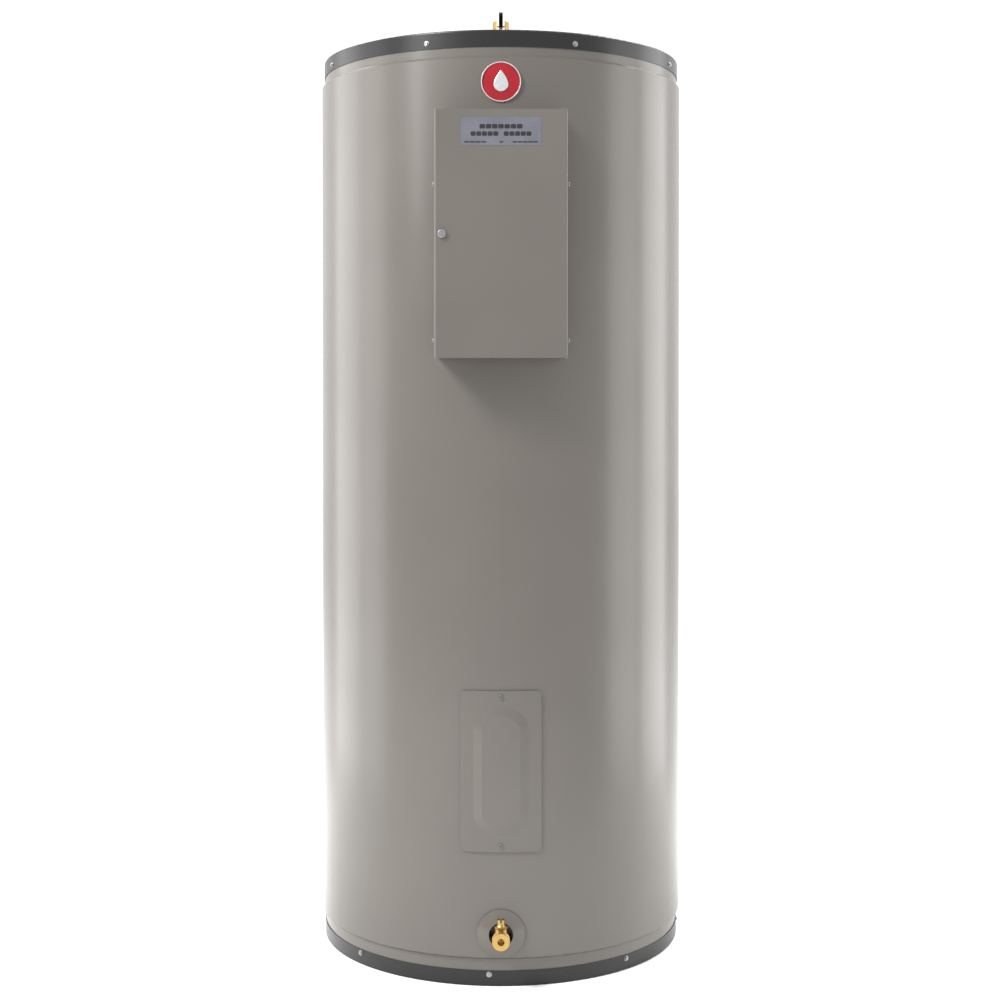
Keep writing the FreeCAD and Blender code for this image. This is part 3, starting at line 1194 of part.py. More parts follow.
def make_drain():
    """Brass drain valve with its bonnet, stem and washer, and the domed escutcheon round it."""
    z = "drain_rise"
    chamber_foot, chamber_top = f"({z} - drain_half_height)", f"({z} + drain_half_height)"
    seat = f"({z} - drain_seat_drop)"
    inlet = f"({TANK} - 3)"
    mouth = f"({STEM_AXIS} + drain_chamber + hose_neck)"
    body = fuse(
        "drain_solid",
        rod("drain_thread", "thread_radius", "16", (0, f"-{inlet}", z), FRONT),
        rod("drain_pipe", "drain_barrel", f"{STEM_AXIS} - {inlet}", (0, f"-{inlet}", z), FRONT),
        rod("drain_pot", "drain_chamber", f"{chamber_top} - {chamber_foot}", (0, f"-{STEM_AXIS}", chamber_foot)),
        rod("drain_nose", "hose_radius - 2.5", f"{mouth} - {STEM_AXIS} + 3", (0, f"-{STEM_AXIS}", z), FRONT),
        rod("drain_hose_end", "hose_radius", "hose_length", (0, f"-{mouth}", z), FRONT),
    )
    node(cut(
        "DrainBody", body,
        rod("drain_inlet_tool", "drain_inlet_bore", f"{STEM_AXIS} - {inlet}", (0, f"-{inlet}", f"{z} - 6.6"), FRONT),
        rod("drain_port_tool", "drain_port", f"{seat} - ({z} - 8.5)", (0, f"-{STEM_AXIS}", f"{z} - 8.5")),
        rod("drain_well_tool", "drain_well", f"{chamber_top} - {seat}", (0, f"-{STEM_AXIS}", seat)),
        rod("drain_outlet_tool", "drain_outlet_bore", "12", (0, f"-({STEM_AXIS} + 3.4)", f"{z} + 1.7"), FRONT),
        rod("drain_mouth_bore", "hose_bore", "hose_length + 2", (0, f"-({mouth} + 1)", z), FRONT),
    ), "drain_valve_body")
    bonnet = fuse(
        "bonnet_solid",
        hexagon("bonnet_hex", "17", "4", (0, f"-{STEM_AXIS}", chamber_top)),
        cone("bonnet_neck", "7.4", "5.4", "3", (0, f"-{STEM_AXIS}", f"{chamber_top} + 4")),
    )
    stem_gap = "(drain_stem + stem_running_gap)"
    node(cut("Bonnet", bonnet, rod("bonnet_bore", stem_gap, "30", (0, f"-{STEM_AXIS}", chamber_top))), "drain_valve_bonnet")
    head_foot = f"({chamber_top} + 7 + 0.6)"
    stem = fuse(
        "stem_solid",
        rod("stem_bar", "drain_stem", f"{head_foot} - ({seat} + washer_sheet + skin_gap)",
            (0, f"-{STEM_AXIS}", f"{seat} + washer_sheet + skin_gap")),
        rod("stem_head", "drain_head", "7", (0, f"-{STEM_AXIS}", head_foot)),
    )
    slot = block("stem_slot", ("2.4", "20", "8"), (0, f"-{STEM_AXIS}", f"{head_foot} + 7"))
    node(cut("Stem", stem, slot), "drain_stem")
    node(rod("Washer", "washer_radius", "washer_sheet", (0, f"-{STEM_AXIS}", seat)), "drain_washer")

    jacket, lip = "jacket_radius", "(jacket_radius + escutcheon_rise)"
    spread = "(escutcheon_radius - escutcheon_mouth)"
    outside = fuse(
        "escutcheon_outside",
        rod("escutcheon_flange", "escutcheon_radius", "6", (0, f"-({jacket} - 4)", z), FRONT),
        cone("escutcheon_cone", "escutcheon_radius", "escutcheon_mouth + 1", "escutcheon_rise - 2", (0, f"-({jacket} + 2)", z), FRONT),
    )
    inside = cone("escutcheon_inside", f"escutcheon_radius + {spread} / 2 - 1.4", "escutcheon_mouth", "escutcheon_rise + 9",
                  (0, f"-({jacket} - 9)", z), FRONT)
    mouth_hole = rod("escutcheon_hole", "escutcheon_mouth", "60", (0, f"-({lip} - 20)", z), FRONT)
    saddle = rod("escutcheon_saddle", "jacket_radius + skin_gap", "heater_height", (0, 0, 0))
    node(cut("Escutcheon", outside, inside, mouth_hole, saddle), "drain_escutcheon")


def make_badge():
    """A round badge that follows the curve of the jacket."""
    disc = front_hole("badge_disc", "badge_radius", "0", "(heater_height - badge_drop)")
    ring = tube("badge_ring", "jacket_radius + 0.1 + badge_sheet", "jacket_radius + 0.1", "4 * badge_radius",
                (0, 0, "heater_height - badge_drop - 2 * badge_radius"))
    node(common("Badge", disc, ring), "badge")


# ---------------------------------------------------------------- build, check and write

make_pans()
make_jacket()
make_tank()
make_foam()
make_pipes()
make_relief_valve()
make_elements()
make_thermostats()
make_control_box()
make_door()
make_switchgear()
make_lower_cover()
make_drain()
make_badge()
DOC.recompute()

for item in DOC.Objects:
    if "Invalid" in item.State or "Error" in item.State:
        raise RuntimeError(f"{item.Label} did not rebuild: {item.State}")
os.makedirs("parts", exist_ok=True)
for item in NODES:
    if item.Shape.isNull() or not item.Shape.isValid() or not item.Shape.Solids:
        raise RuntimeError(f"{item.Label} is not a sound solid")
    item.Shape.exportStep(f"parts/{item.Label}.step")
print(len(NODES), "nodes,", sum(len(item.Shape.Solids) for item in NODES), "solids")
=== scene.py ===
"""A commercial electric tank water heater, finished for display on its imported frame.

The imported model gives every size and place. This script gives each of its nodes a
finish, models the small fittings that need more shape than the frame carries, and
sets the studio: a pale floor, soft lights and a camera.
"""

import logging
import math
from dataclasses import dataclass, field
from enum import Enum
from typing import Callable, Iterable, Sequence

import bmesh
import bpy
from mathutils import Matrix, Vector


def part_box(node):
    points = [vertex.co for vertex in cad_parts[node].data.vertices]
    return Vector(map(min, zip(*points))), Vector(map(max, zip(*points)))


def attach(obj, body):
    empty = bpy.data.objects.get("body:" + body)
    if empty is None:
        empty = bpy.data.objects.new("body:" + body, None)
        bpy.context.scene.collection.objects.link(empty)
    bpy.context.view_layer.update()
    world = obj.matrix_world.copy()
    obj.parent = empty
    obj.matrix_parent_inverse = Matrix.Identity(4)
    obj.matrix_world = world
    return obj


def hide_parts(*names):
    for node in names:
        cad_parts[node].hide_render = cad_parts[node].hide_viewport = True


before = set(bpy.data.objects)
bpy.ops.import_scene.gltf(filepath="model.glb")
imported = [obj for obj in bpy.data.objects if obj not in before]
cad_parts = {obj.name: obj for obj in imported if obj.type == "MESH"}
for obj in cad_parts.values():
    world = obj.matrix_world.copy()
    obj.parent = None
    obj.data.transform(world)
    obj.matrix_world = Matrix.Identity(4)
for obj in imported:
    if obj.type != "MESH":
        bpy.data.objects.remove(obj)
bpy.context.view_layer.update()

Colour = tuple[float, float, float, float]
Test = Callable[[Vector, Vector], bool]

MM = 0.001
FLAT = 0.999

log = logging.getLogger("water_heater")


def display(red: int, green: int, blue: int) -> Colour:
    """Turn a display colour into the linear colour that a shader takes.

    Args:
        red: Red, from 0 to 255.
        green: Green, from 0 to 255.
        blue: Blue, from 0 to 255.

    Returns:
        The linear colour, with an alpha of 1.
    """
    parts = (value / 255 for value in (red, green, blue))
    linear = (p / 12.92 if p <= 0.04045 else ((p + 0.055) / 1.055) ** 2.4 for p in parts)
    return (*linear, 1.0)


def shaded(colour: Colour, factor: float) -> Colour:
    """Make a colour lighter or darker.

    Args:
        colour: The linear colour.
        factor: Over 1 is lighter, under 1 is darker.

    Returns:
        The changed colour, with the same alpha.
    """
    return (*(min(part * factor, 1.0) for part in colour[:3]), colour[3])


# --- Finishes -------------------------------------------------------------------------


class Shading:
    """The nodes of one procedural material, laid over Object coordinates."""

    def __init__(self, name: str) -> None:
        """Start a material with its shader and its coordinates.

        Args:
            name: The material's name.
        """
        self.material = bpy.data.materials.new(name)
        self.material.use_nodes = True
        self.tree = self.material.node_tree
        self.shader = self.tree.nodes["Principled BSDF"]
        self.place = self.tree.nodes.new("ShaderNodeTexCoord").outputs["Object"]
        self.normal: bpy.types.NodeSocket | None = None

    def node(self, kind: str, values: dict[str | int, object], **settings: object) -> bpy.types.Node:
        """Add a node.

        Args:
            kind: The node's type.
            values: A number, a colour or another node's output for each input.
            **settings: The node's own properties.

        Returns:
            The new node.
        """
        made = self.tree.nodes.new(kind)
        for key, value in settings.items():
            setattr(made, key, value)
        for key, value in values.items():
            if isinstance(value, bpy.types.NodeSocket):
                self.tree.links.new(value, made.inputs[key])
            else:
                made.inputs[key].default_value = value
        return made

    def stretched(self, scale: Sequence[float]) -> bpy.types.NodeSocket:
        """The coordinates, stretched by a factor along each axis."""
        return self.node("ShaderNodeMapping", {"Vector": self.place, "Scale": tuple(scale)}).outputs[0]

    def noise(self, scale: float, detail: float = 3.0, along: Sequence[float] | None = None) -> bpy.types.NodeSocket:
        """Cloudy noise.

        Args:
            scale: How many clouds there are to a metre.
            detail: How many finer layers are added.
            along: A stretch along each axis, for streaks.

        Returns:
            A value from 0 to 1.
        """
        vector = self.stretched(along) if along else self.place
        values = {"Vector": vector, "Scale": scale, "Detail": detail, "Roughness": 0.55}
        return self.node("ShaderNodeTexNoise", values).outputs["Fac"]

    def cells(self, scale: float) -> bpy.types.NodeSocket:
        """The distance to the middle of the nearest cell, for spangle and foam."""
        return self.node("ShaderNodeTexVoronoi", {"Vector": self.place, "Scale": scale}).outputs["Distance"]

    def band(
        self, value: bpy.types.NodeSocket, start: float, end: float, low: float = 0.0, high: float = 1.0
    ) -> bpy.types.NodeSocket:
        """Spread part of a value's range.

        Args:
            value: The value to spread.
            start: The value that gives low.
            end: The value that gives high.
            low: The result at the start.
            high: The result at the end.

        Returns:
            The spread value, held between low and high.
        """
        values = {0: value, 1: start, 2: end, 3: low, 4: high}
        return self.node("ShaderNodeMapRange", values, clamp=True, interpolation_type="SMOOTHSTEP").outputs[0]

    def product(self, first: bpy.types.NodeSocket, second: bpy.types.NodeSocket | float) -> bpy.types.NodeSocket:
        """Two values multiplied together."""
        return self.node("ShaderNodeMath", {0: first, 1: second}, operation="MULTIPLY").outputs[0]

    def upward(self) -> bpy.types.NodeSocket:
        """How far the surface faces up, where dust settles."""
        normal = self.tree.nodes.new("ShaderNodeNewGeometry").outputs["Normal"]
        return self.node("ShaderNodeSeparateXYZ", {0: normal}).outputs["Z"]

    def mixed(self, share: bpy.types.NodeSocket, first: object, second: object) -> bpy.types.NodeSocket:
        """Blend two colours.

        Args:
            share: The share of the second colour.
            first: A colour or a colour output.
            second: A colour or a colour output.

        Returns:
            The blended colour.
        """
        values = {0: share, 6: first, 7: second}
        return self.node("ShaderNodeMix", values, data_type="RGBA").outputs[2]

    def raised(self, height: bpy.types.NodeSocket, strength: float, distance: float) -> None:
        """Add a layer of relief over the ones before it.

        Args:
            height: The height, from 0 to 1.
            strength: How strongly it shows.
            distance: How high 1 is, in metres.
        """
        values: dict[str | int, object] = {"Height": height, "Strength": strength, "Distance": distance}
        if self.normal:
            values["Normal"] = self.normal
        self.normal = self.node("ShaderNodeBump", values).outputs["Normal"]

    def done(self, colour: bpy.types.NodeSocket, roughness: bpy.types.NodeSocket, **fixed: float) -> bpy.types.Material:
        """Join the last nodes to the shader.

        Args:
            colour: The base colour.
            roughness: The roughness.
            **fixed: A constant for each other input, spaces as underscores.

        Returns:
            The material.
        """
        self.tree.links.new(colour, self.shader.inputs["Base Color"])
        self.tree.links.new(roughness, self.shader.inputs["Roughness"])
        if self.normal:
            self.tree.links.new(self.normal, self.shader.inputs["Normal"])
        for key, value in fixed.items():
            self.shader.inputs[key.replace("_", " ")].default_value = value
        return self.material


@dataclass(frozen=True)
class Paint:
    """Baked paint on sheet metal, with orange peel and a little settled dust."""

    name: str
    colour: Colour
    roughness: float
    gloss: float = 0.5
    coat: float = 0.0
    peel: float = 0.05
    dust: float = 0.1
    ripple: float = 0.0

    def material(self) -> bpy.types.Material:
        """Make the material."""
        s = Shading(self.name)
        clouds = s.noise(5.0, 1.0)
        base = s.mixed(s.band(clouds, 0.3, 0.7), shaded(self.colour, 0.965), shaded(self.colour, 1.035))
        settled = s.product(s.band(s.upward(), 0.75, 1.0, 0.0, self.dust), s.band(s.noise(9.0, 3.0), 0.2, 0.8))
        base = s.mixed(settled, base, display(176, 172, 163))
        rough = s.band(s.noise(8.0, 1.0), 0.25, 0.75, self.roughness - 0.02, self.roughness + 0.02)
        if self.ripple:
            s.raised(s.noise(1.0, 1.0, (26.0, 26.0, 1.2)), self.ripple, 0.0012)
        if self.peel:
            s.raised(s.noise(150.0, 1.0), self.peel, 0.0002)
        return s.done(base, rough, Specular_IOR_Level=self.gloss, Coat_Weight=self.coat, Coat_Roughness=0.18)


class Lay(Enum):
    """The way a metal's working marks run."""

    NONE = (1.0, 1.0, 1.0)
    DEEP = (1.0, 0.02, 1.0)
    UPRIGHT = (1.0, 1.0, 0.02)


@dataclass(frozen=True)
class Metal:
    """Bare or plated metal, with working marks, dull patches and stains."""

    name: str
    colour: Colour
    stain: Colour
    roughness: float
    stained: float = 0.35
    lay: Lay = Lay.NONE
    marks: float = 0.12
    spangle: float = 0.0

    def material(self) -> bpy.types.Material:
        """Make the material."""
        s = Shading(self.name)
        lines = s.noise(1500.0, 2.0, self.lay.value)
        base = s.mixed(s.band(lines, 0.3, 0.7), shaded(self.colour, 0.88), shaded(self.colour, 1.08))
        if self.spangle:
            base = s.mixed(s.band(s.cells(160.0), 0.2, 0.7, 0.0, self.spangle), base, shaded(self.colour, 0.6))
        patches = s.band(s.noise(75.0, 6.0), 0.48, 0.72, 0.0, self.stained)
        base = s.mixed(patches, base, self.stain)
        rough = s.band(s.noise(140.0, 5.0), 0.25, 0.75, self.roughness - 0.07, self.roughness + 0.1)
        s.raised(lines, self.marks, 0.00008)
        return s.done(base, rough, Metallic=1.0)


@dataclass(frozen=True)
class Moulded:
    """Moulded plastic or rubber, with a fine grain."""

    name: str
    colour: Colour
    roughness: float
    grain: float = 0.1
    grains: float = 1400.0
    gloss: float = 0.45

    def material(self) -> bpy.types.Material:
        """Make the material."""
        s = Shading(self.name)
        clouds = s.band(s.noise(40.0, 4.0), 0.3, 0.7)
        base = s.mixed(clouds, shaded(self.colour, 0.9), shaded(self.colour, 1.1))
        rough = s.band(s.noise(90.0, 4.0), 0.25, 0.75, self.roughness - 0.05, self.roughness + 0.06)
        s.raised(s.noise(self.grains, 2.0), self.grain, 0.00012)
        return s.done(base, rough, Specular_IOR_Level=self.gloss)


@dataclass(frozen=True)
class Foamed:
    """Poured foam, with open cells whose hollows carry painted shade, and a skin that yellows."""

    name: str
    colour: Colour
    aged: Colour

    def material(self) -> bpy.types.Material:
        """Make the material."""
        s = Shading(self.name)
        base = s.mixed(s.band(s.noise(9.0, 5.0), 0.35, 0.65), self.colour, self.aged)
        pores = s.cells(420.0)
        # Darker towards each cell's middle, where the bump sinks it: painted shade in the pore hollows.
        base = s.mixed(s.band(pores, 0.0, 0.25, 0.5, 0.0), base, shaded(self.aged, 0.5))
        rough = s.band(s.noise(60.0), 0.2, 0.8, 0.82, 0.95)
        s.raised(pores, 0.6, 0.0008)
        return s.done(base, rough, Specular_IOR_Level=0.2)


@dataclass(frozen=True)
class Pressed:
    """Pressed fibre board, with flecks and a flat weave of fibres."""

    name: str
    colour: Colour

    def material(self) -> bpy.types.Material:
        """Make the material."""
        s = Shading(self.name)
        fibres = s.noise(500.0, 4.0, (1.0, 0.15, 1.0))
        base = s.mixed(s.band(fibres, 0.3, 0.7), shaded(self.colour, 0.75), shaded(self.colour, 1.2))
        rough = s.band(s.noise(50.0), 0.2, 0.8, 0.8, 0.92)
        s.raised(fibres, 0.4, 0.0004)
        return s.done(base, rough, Specular_IOR_Level=0.2)


TAUPE = display(85, 81, 76)
STAIN = display(92, 70, 40)
FINISHES: dict[str, Paint | Metal | Moulded | Foamed | Pressed] = {
    "jacket_paint": Paint("taupe_paint", TAUPE, 0.25, peel=0.0, ripple=0.06),
    "black_paint": Paint("charcoal_paint", display(17, 17, 18), 0.3, gloss=0.4, dust=0.035),
    "zinc": Metal("zinc_plate", display(205, 207, 210), display(120, 118, 112), 0.3, spangle=0.25),
    "tank_steel": Metal("tank_steel", display(140, 142, 146), display(84, 62, 48), 0.45),
    "dark_steel": Metal("dark_steel", display(58, 58, 60), display(30, 28, 26), 0.42),
    "magnesium": Metal("magnesium", display(170, 170, 172), display(110, 110, 112), 0.5, lay=Lay.UPRIGHT),
    "brass": Metal("brass", display(168, 138, 84), STAIN, 0.3, lay=Lay.DEEP),
    "badge_metal": Moulded("badge_enamel", display(138, 14, 26), 0.3, grain=0.03, gloss=0.3),
    "board": Pressed("fibre_board", display(148, 120, 84)),
    "foam": Foamed("foam", display(224, 208, 160), display(205, 178, 112)),
    "rubber": Moulded("rubber", display(28, 28, 29), 0.7, grain=0.2),
    "wire": Moulded("wire_jacket", display(26, 26, 28), 0.4),
    "white_plastic": Moulded("white_plastic", display(214, 212, 204), 0.42),
    "black_plastic": Moulded("black_plastic", display(30, 30, 31), 0.42),
    "dial_plastic": Moulded("dial_plastic", display(226, 222, 210), 0.38),
    "red_plastic": Moulded("red_plastic", display(176, 28, 30), 0.36),
    "bright_zinc": Metal("bright_zinc", display(146, 147, 148), display(84, 82, 78), 0.32, stained=0.35),
    "polished": Metal("polished_rim", display(205, 206, 208), display(160, 160, 162), 0.3, stained=0.15),
    "ink": Moulded("ink", display(16, 16, 19), 0.5, grain=0.05),
    "label_film": Moulded("label_film", display(86, 87, 95), 0.35, grain=0.02),
}


class Wardrobe:
    """Makes each finish once and dresses the nodes in them."""

    def __init__(self) -> None:
        """Start with nothing made."""
        self._made: dict[str, bpy.types.Material] = {}

    def get(self, slot: str) -> bpy.types.Material:
        """The material of a slot, made the first time it is asked for."""
        if slot not in self._made:
            self._made[slot] = FINISHES[slot].material()
        return self._made[slot]

    def dress_nodes(self) -> None:
        """Give every node of the frame the finish of its slot."""
        for name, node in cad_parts.items():
            for place in node.material_slots:
                slot = place.material.name.split(".")[0]
                place.material = self.get(slot)
            log.info("node %s: %s", name, slot)


# --- Studio ---------------------------------------------------------------------------


@dataclass
class Softbox:
    """A rectangular light on a stand, turned to a point of the heater."""

    name: str
    place: tuple[float, float, float]
    target: tuple[float, float, float]
    width: float
    height: float
    power: float

    def build(self) -> bpy.types.Object:
        """Set up the light.

        Returns:
            The light's object.
        """
        lamp = bpy.data.lights.new(self.name, "AREA")
        lamp.shape = "RECTANGLE"
        lamp.size, lamp.size_y = self.width, self.height
        lamp.energy = self.power
        made = bpy.data.objects.new(self.name, lamp)
        bpy.context.scene.collection.objects.link(made)
        made.location = self.place
        aim = Vector(self.target) - Vector(self.place)
        made.rotation_euler = aim.to_track_quat("-Z", "Y").to_euler()
        return made


@dataclass
class Studio:
    """The pale floor, the soft lights and the camera."""

    floor_radius: float = 14.0
    camera_place: tuple[float, float, float] = (-0.0015, -2.928, 0.93)
    camera_pitch: float = 0.76
    camera_turn: float = 0.0
    lens: float = 60.0
    shift: float = -0.08
    sky: float = 1.16
    boxes: tuple[Softbox, ...] = (
        Softbox("left_softbox", (-1.42, 0.36, 0.95), (0.0, 0.0, 0.95), 0.72, 1.86, 11.0),
        Softbox("right_softbox", (1.42, 0.36, 0.95), (0.0, 0.0, 0.95), 0.72, 1.86, 14.0),
        Softbox("left_wing", (-1.55, -0.3, 0.95), (0.0, 0.0, 0.95), 0.5, 1.86, 6.0),
        Softbox("right_wing", (1.52, -0.4, 0.95), (0.0, 0.0, 0.95), 0.6, 1.86, 9.0),
        Softbox("upper_left_strip", (-1.75, -1.45, 2.3), (0.0, 0.0, 1.3), 0.3, 1.7, 9.0),
        Softbox("key", (-2.2, -1.9, 3.3), (0.0, 0.0, 0.8), 1.0, 1.0, 170.0),
        Softbox("left_floor_wash", (-1.25, 0.8, 2.6), (-1.25, 0.8, 0.0), 1.2, 1.2, 40.0),
        Softbox("right_floor_wash", (1.25, 0.8, 2.6), (1.25, 0.8, 0.0), 1.2, 1.2, 40.0),
    )

    def floor(self) -> None:
        """Lay the pale floor."""
        deselect_all()
        bpy.ops.mesh.primitive_circle_add(vertices=96, radius=self.floor_radius, fill_type="NGON")
        disc = bpy.context.active_object
        disc.name = "studio_floor"
        s = Shading("pale_floor")
        base = s.mixed(s.band(s.noise(1.2, 3.0), 0.3, 0.7), display(240, 240, 239), display(244, 244, 243))
        disc.data.materials.append(s.done(base, s.band(s.noise(3.0), 0.3, 0.7, 0.75, 0.85), Specular_IOR_Level=0.1))

    def world(self) -> None:
        """Surround the floor with even white light."""
        world = bpy.data.worlds.new("studio_sky")
        bpy.context.scene.world = world
        world.use_nodes = True
        back = world.node_tree.nodes["Background"]
        back.inputs["Color"].default_value = (1.0, 1.0, 1.0, 1.0)
        back.inputs["Strength"].default_value = self.sky

    def camera(self) -> None:
        """Set up the camera."""
        data = bpy.data.cameras.new("studio_camera")
        data.lens, data.sensor_width, data.shift_y = self.lens, 36.0, self.shift
        made = bpy.data.objects.new("studio_camera", data)
        bpy.context.scene.collection.objects.link(made)
        made.location = self.camera_place
        made.rotation_euler = (math.radians(90 - self.camera_pitch), 0.0, math.radians(self.camera_turn))
        bpy.context.scene.camera = made

    def build(self) -> None:
        """Set up the whole studio."""
        self.camera()
        self.world()
        self.floor()
        for box in self.boxes:
            box.build()
        bpy.context.scene.view_settings.view_transform = "Standard"


# --- Modelling ------------------------------------------------------------------------


def deselect_all() -> None:
    """Leave object mode with nothing selected."""
    if bpy.context.object and bpy.context.object.mode != "OBJECT":
        bpy.ops.object.mode_set(mode="OBJECT")
    for made in bpy.context.selected_objects:
        made.select_set(False)


def facing(place: Vector, direction: Vector) -> Matrix:
    """Where a piece modelled along +Z goes, turned to a direction.

    Args:
        place: Where its origin goes.
        direction: Where its +Z points.

    Returns:
        The matrix that puts it there.
    """
    return Matrix.Translation(place) @ direction.to_track_quat("Z", "Y").to_matrix().to_4x4()


def middle(node: str) -> Vector:
    """The middle of a node's box."""
    low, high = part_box(node)
    return (Vector(low) + Vector(high)) / 2


class Workpiece:
    """A new piece, started from one primitive and shaped in edit mode."""

    def __init__(self, name: str, add: Callable[..., set[str]], **settings: object) -> None:
        """Add the primitive.

        Args:
            name: The piece's name.
            add: The operator that adds the primitive.
            **settings: The operator's size and place.
        """
        deselect_all()
        add(**settings)
        self.object = bpy.context.active_object
        self.object.name = name
        self.settle()

    def settle(self) -> None:
        """Move the object's place, turn and size into its mesh."""
        deselect_all()
        self.object.select_set(True)
        bpy.context.view_layer.objects.active = self.object
        bpy.ops.object.transform_apply(location=True, rotation=True, scale=True)

    def pick(self, test: Test, kind: str = "FACE") -> "Workpiece":
        """Select parts of the mesh by their place and direction.

        Args:
            test: Says whether a part is picked, from its middle and its normal or direction.
            kind: FACE, EDGE or VERT.

        Returns:
            This piece, in edit mode.
        """
        if self.object.mode != "EDIT":
            deselect_all()
            bpy.context.view_layer.objects.active = self.object
            bpy.ops.object.mode_set(mode="EDIT")
        bpy.ops.mesh.select_mode(type=kind)
        bpy.ops.mesh.select_all(action="DESELECT")
        mesh = bmesh.from_edit_mesh(self.object.data)
        mesh.normal_update()
        if kind == "FACE":
            picked = [face for face in mesh.faces if test(face.calc_center_median(), face.normal)]
        elif kind == "EDGE":
            picked = []
            for edge in mesh.edges:
                first, last = (corner.co for corner in edge.verts)
                if test((first + last) / 2, (last - first).normalized()):
                    picked.append(edge)
        else:
            picked = [corner for corner in mesh.verts if test(corner.co, corner.normal)]
        for part in picked:
            part.select_set(True)
        mesh.select_flush_mode()
        bmesh.update_edit_mesh(self.object.data)
        return self

    def inset(self, width: float, depth: float = 0.0) -> "Workpiece":
        """Inset the picked faces, and sink or raise them by a depth."""
        bpy.ops.mesh.inset(thickness=width, depth=depth)
        return self

    def extrude(self, *move: float) -> "Workpiece":
        """Extrude the picked parts along a move."""
        bpy.ops.mesh.extrude_region_move(TRANSFORM_OT_translate={"value": move})
        return self

    def bevel(self, width: float, segments: int = 3) -> "Workpiece":
        """Bevel the picked edges."""
        bpy.ops.mesh.bevel(offset=width, segments=segments, affect="EDGES")
        return self

    def resize(self, factors: Sequence[float], centre: Sequence[float]) -> "Workpiece":
        """Scale the picked parts about a centre."""
        bpy.ops.transform.resize(value=tuple(factors), center_override=tuple(centre))
        return self

    def cut(self, cutter: "Workpiece") -> "Workpiece":
        """Cut another piece out of this one, and remove it."""
        deselect_all()
        bpy.context.view_layer.objects.active = self.object
        hollow = self.object.modifiers.new("cut", "BOOLEAN")
        hollow.operation, hollow.solver, hollow.object = "DIFFERENCE", "EXACT", cutter.object
        bpy.ops.object.modifier_apply(modifier=hollow.name)
        bpy.data.objects.remove(cutter.object)
        return self

    def wound(self, turns: int, pitch: float, steps: int = 40) -> "Workpiece":
        """Sweep a closed outline round Z into a thread.

        Args:
            turns: How many turns it makes.
            pitch: How far it climbs in a turn.
            steps: How many faces a turn has.

        Returns:
            This piece, with its ends closed.
        """
        deselect_all()
        bpy.context.view_layer.objects.active = self.object
        sweep = self.object.modifiers.new("thread", "SCREW")
        sweep.axis, sweep.steps, sweep.render_steps = "Z", steps, steps
        sweep.iterations, sweep.screw_offset = turns, pitch
        bpy.ops.object.modifier_apply(modifier=sweep.name)
        bpy.ops.object.mode_set(mode="EDIT")
        bpy.ops.mesh.select_mode(type="EDGE")
        bpy.ops.mesh.select_all(action="DESELECT")
        bpy.ops.mesh.select_non_manifold()
        bpy.ops.mesh.fill()
        deselect_all()
        return self

    def joined(self, *others: "Workpiece") -> "Workpiece":
        """Join other pieces into this one."""
        deselect_all()
        for piece in (self, *others):
            piece.object.select_set(True)
        bpy.context.view_layer.objects.active = self.object
        bpy.ops.object.join()
        return self

    def repeated(self, places: Iterable[Matrix]) -> "Workpiece":
        """Copy the piece to several places and join the copies.

        Args:
            places: Where each copy goes.

        Returns:
            This piece, standing at the first place and joined to its copies.
        """
        deselect_all()
        first, *rest = places
        for place in rest:
            twin = self.object.copy()
            twin.data = self.object.data.copy()
            twin.data.transform(place)
            bpy.context.scene.collection.objects.link(twin)
            twin.select_set(True)
        self.object.data.transform(first)
        if rest:
            self.object.select_set(True)
            bpy.context.view_layer.objects.active = self.object
            bpy.ops.object.join()
        return self

    def finished(self, finish: bpy.types.Material, body: str, slot: str, smooth: float = 35.0) -> bpy.types.Object:
        """Close, smooth and dress the piece, and let it ride on its body.

        Args:
            finish: The material.
            body: The body it rides on.
            slot: The record's material slot; not used.
            smooth: The angle under which edges are smoothed, in degrees.

        Returns:
            The finished object.
        """
        deselect_all()
        made = self.object
        made.select_set(True)
        bpy.context.view_layer.objects.active = made
        bpy.ops.object.mode_set(mode="EDIT")
        bpy.ops.mesh.select_all(action="SELECT")
        bpy.ops.mesh.remove_doubles(threshold=1e-6)
        bpy.ops.mesh.normals_make_consistent(inside=False)
        bpy.ops.object.mode_set(mode="OBJECT")
        bpy.ops.object.shade_smooth_by_angle(angle=math.radians(smooth))
        made.data.name = made.name
        made.data.materials.clear()
        made.data.materials.append(finish)
        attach(made, body)
        log.info("piece %s: %d faces, on %s", made.name, len(made.data.polygons), body)
        return made


class Drive(Enum):
    """What a screw is turned by."""

    CROSS = "cross"
    SLOT = "slot"
    HEX = "hex"


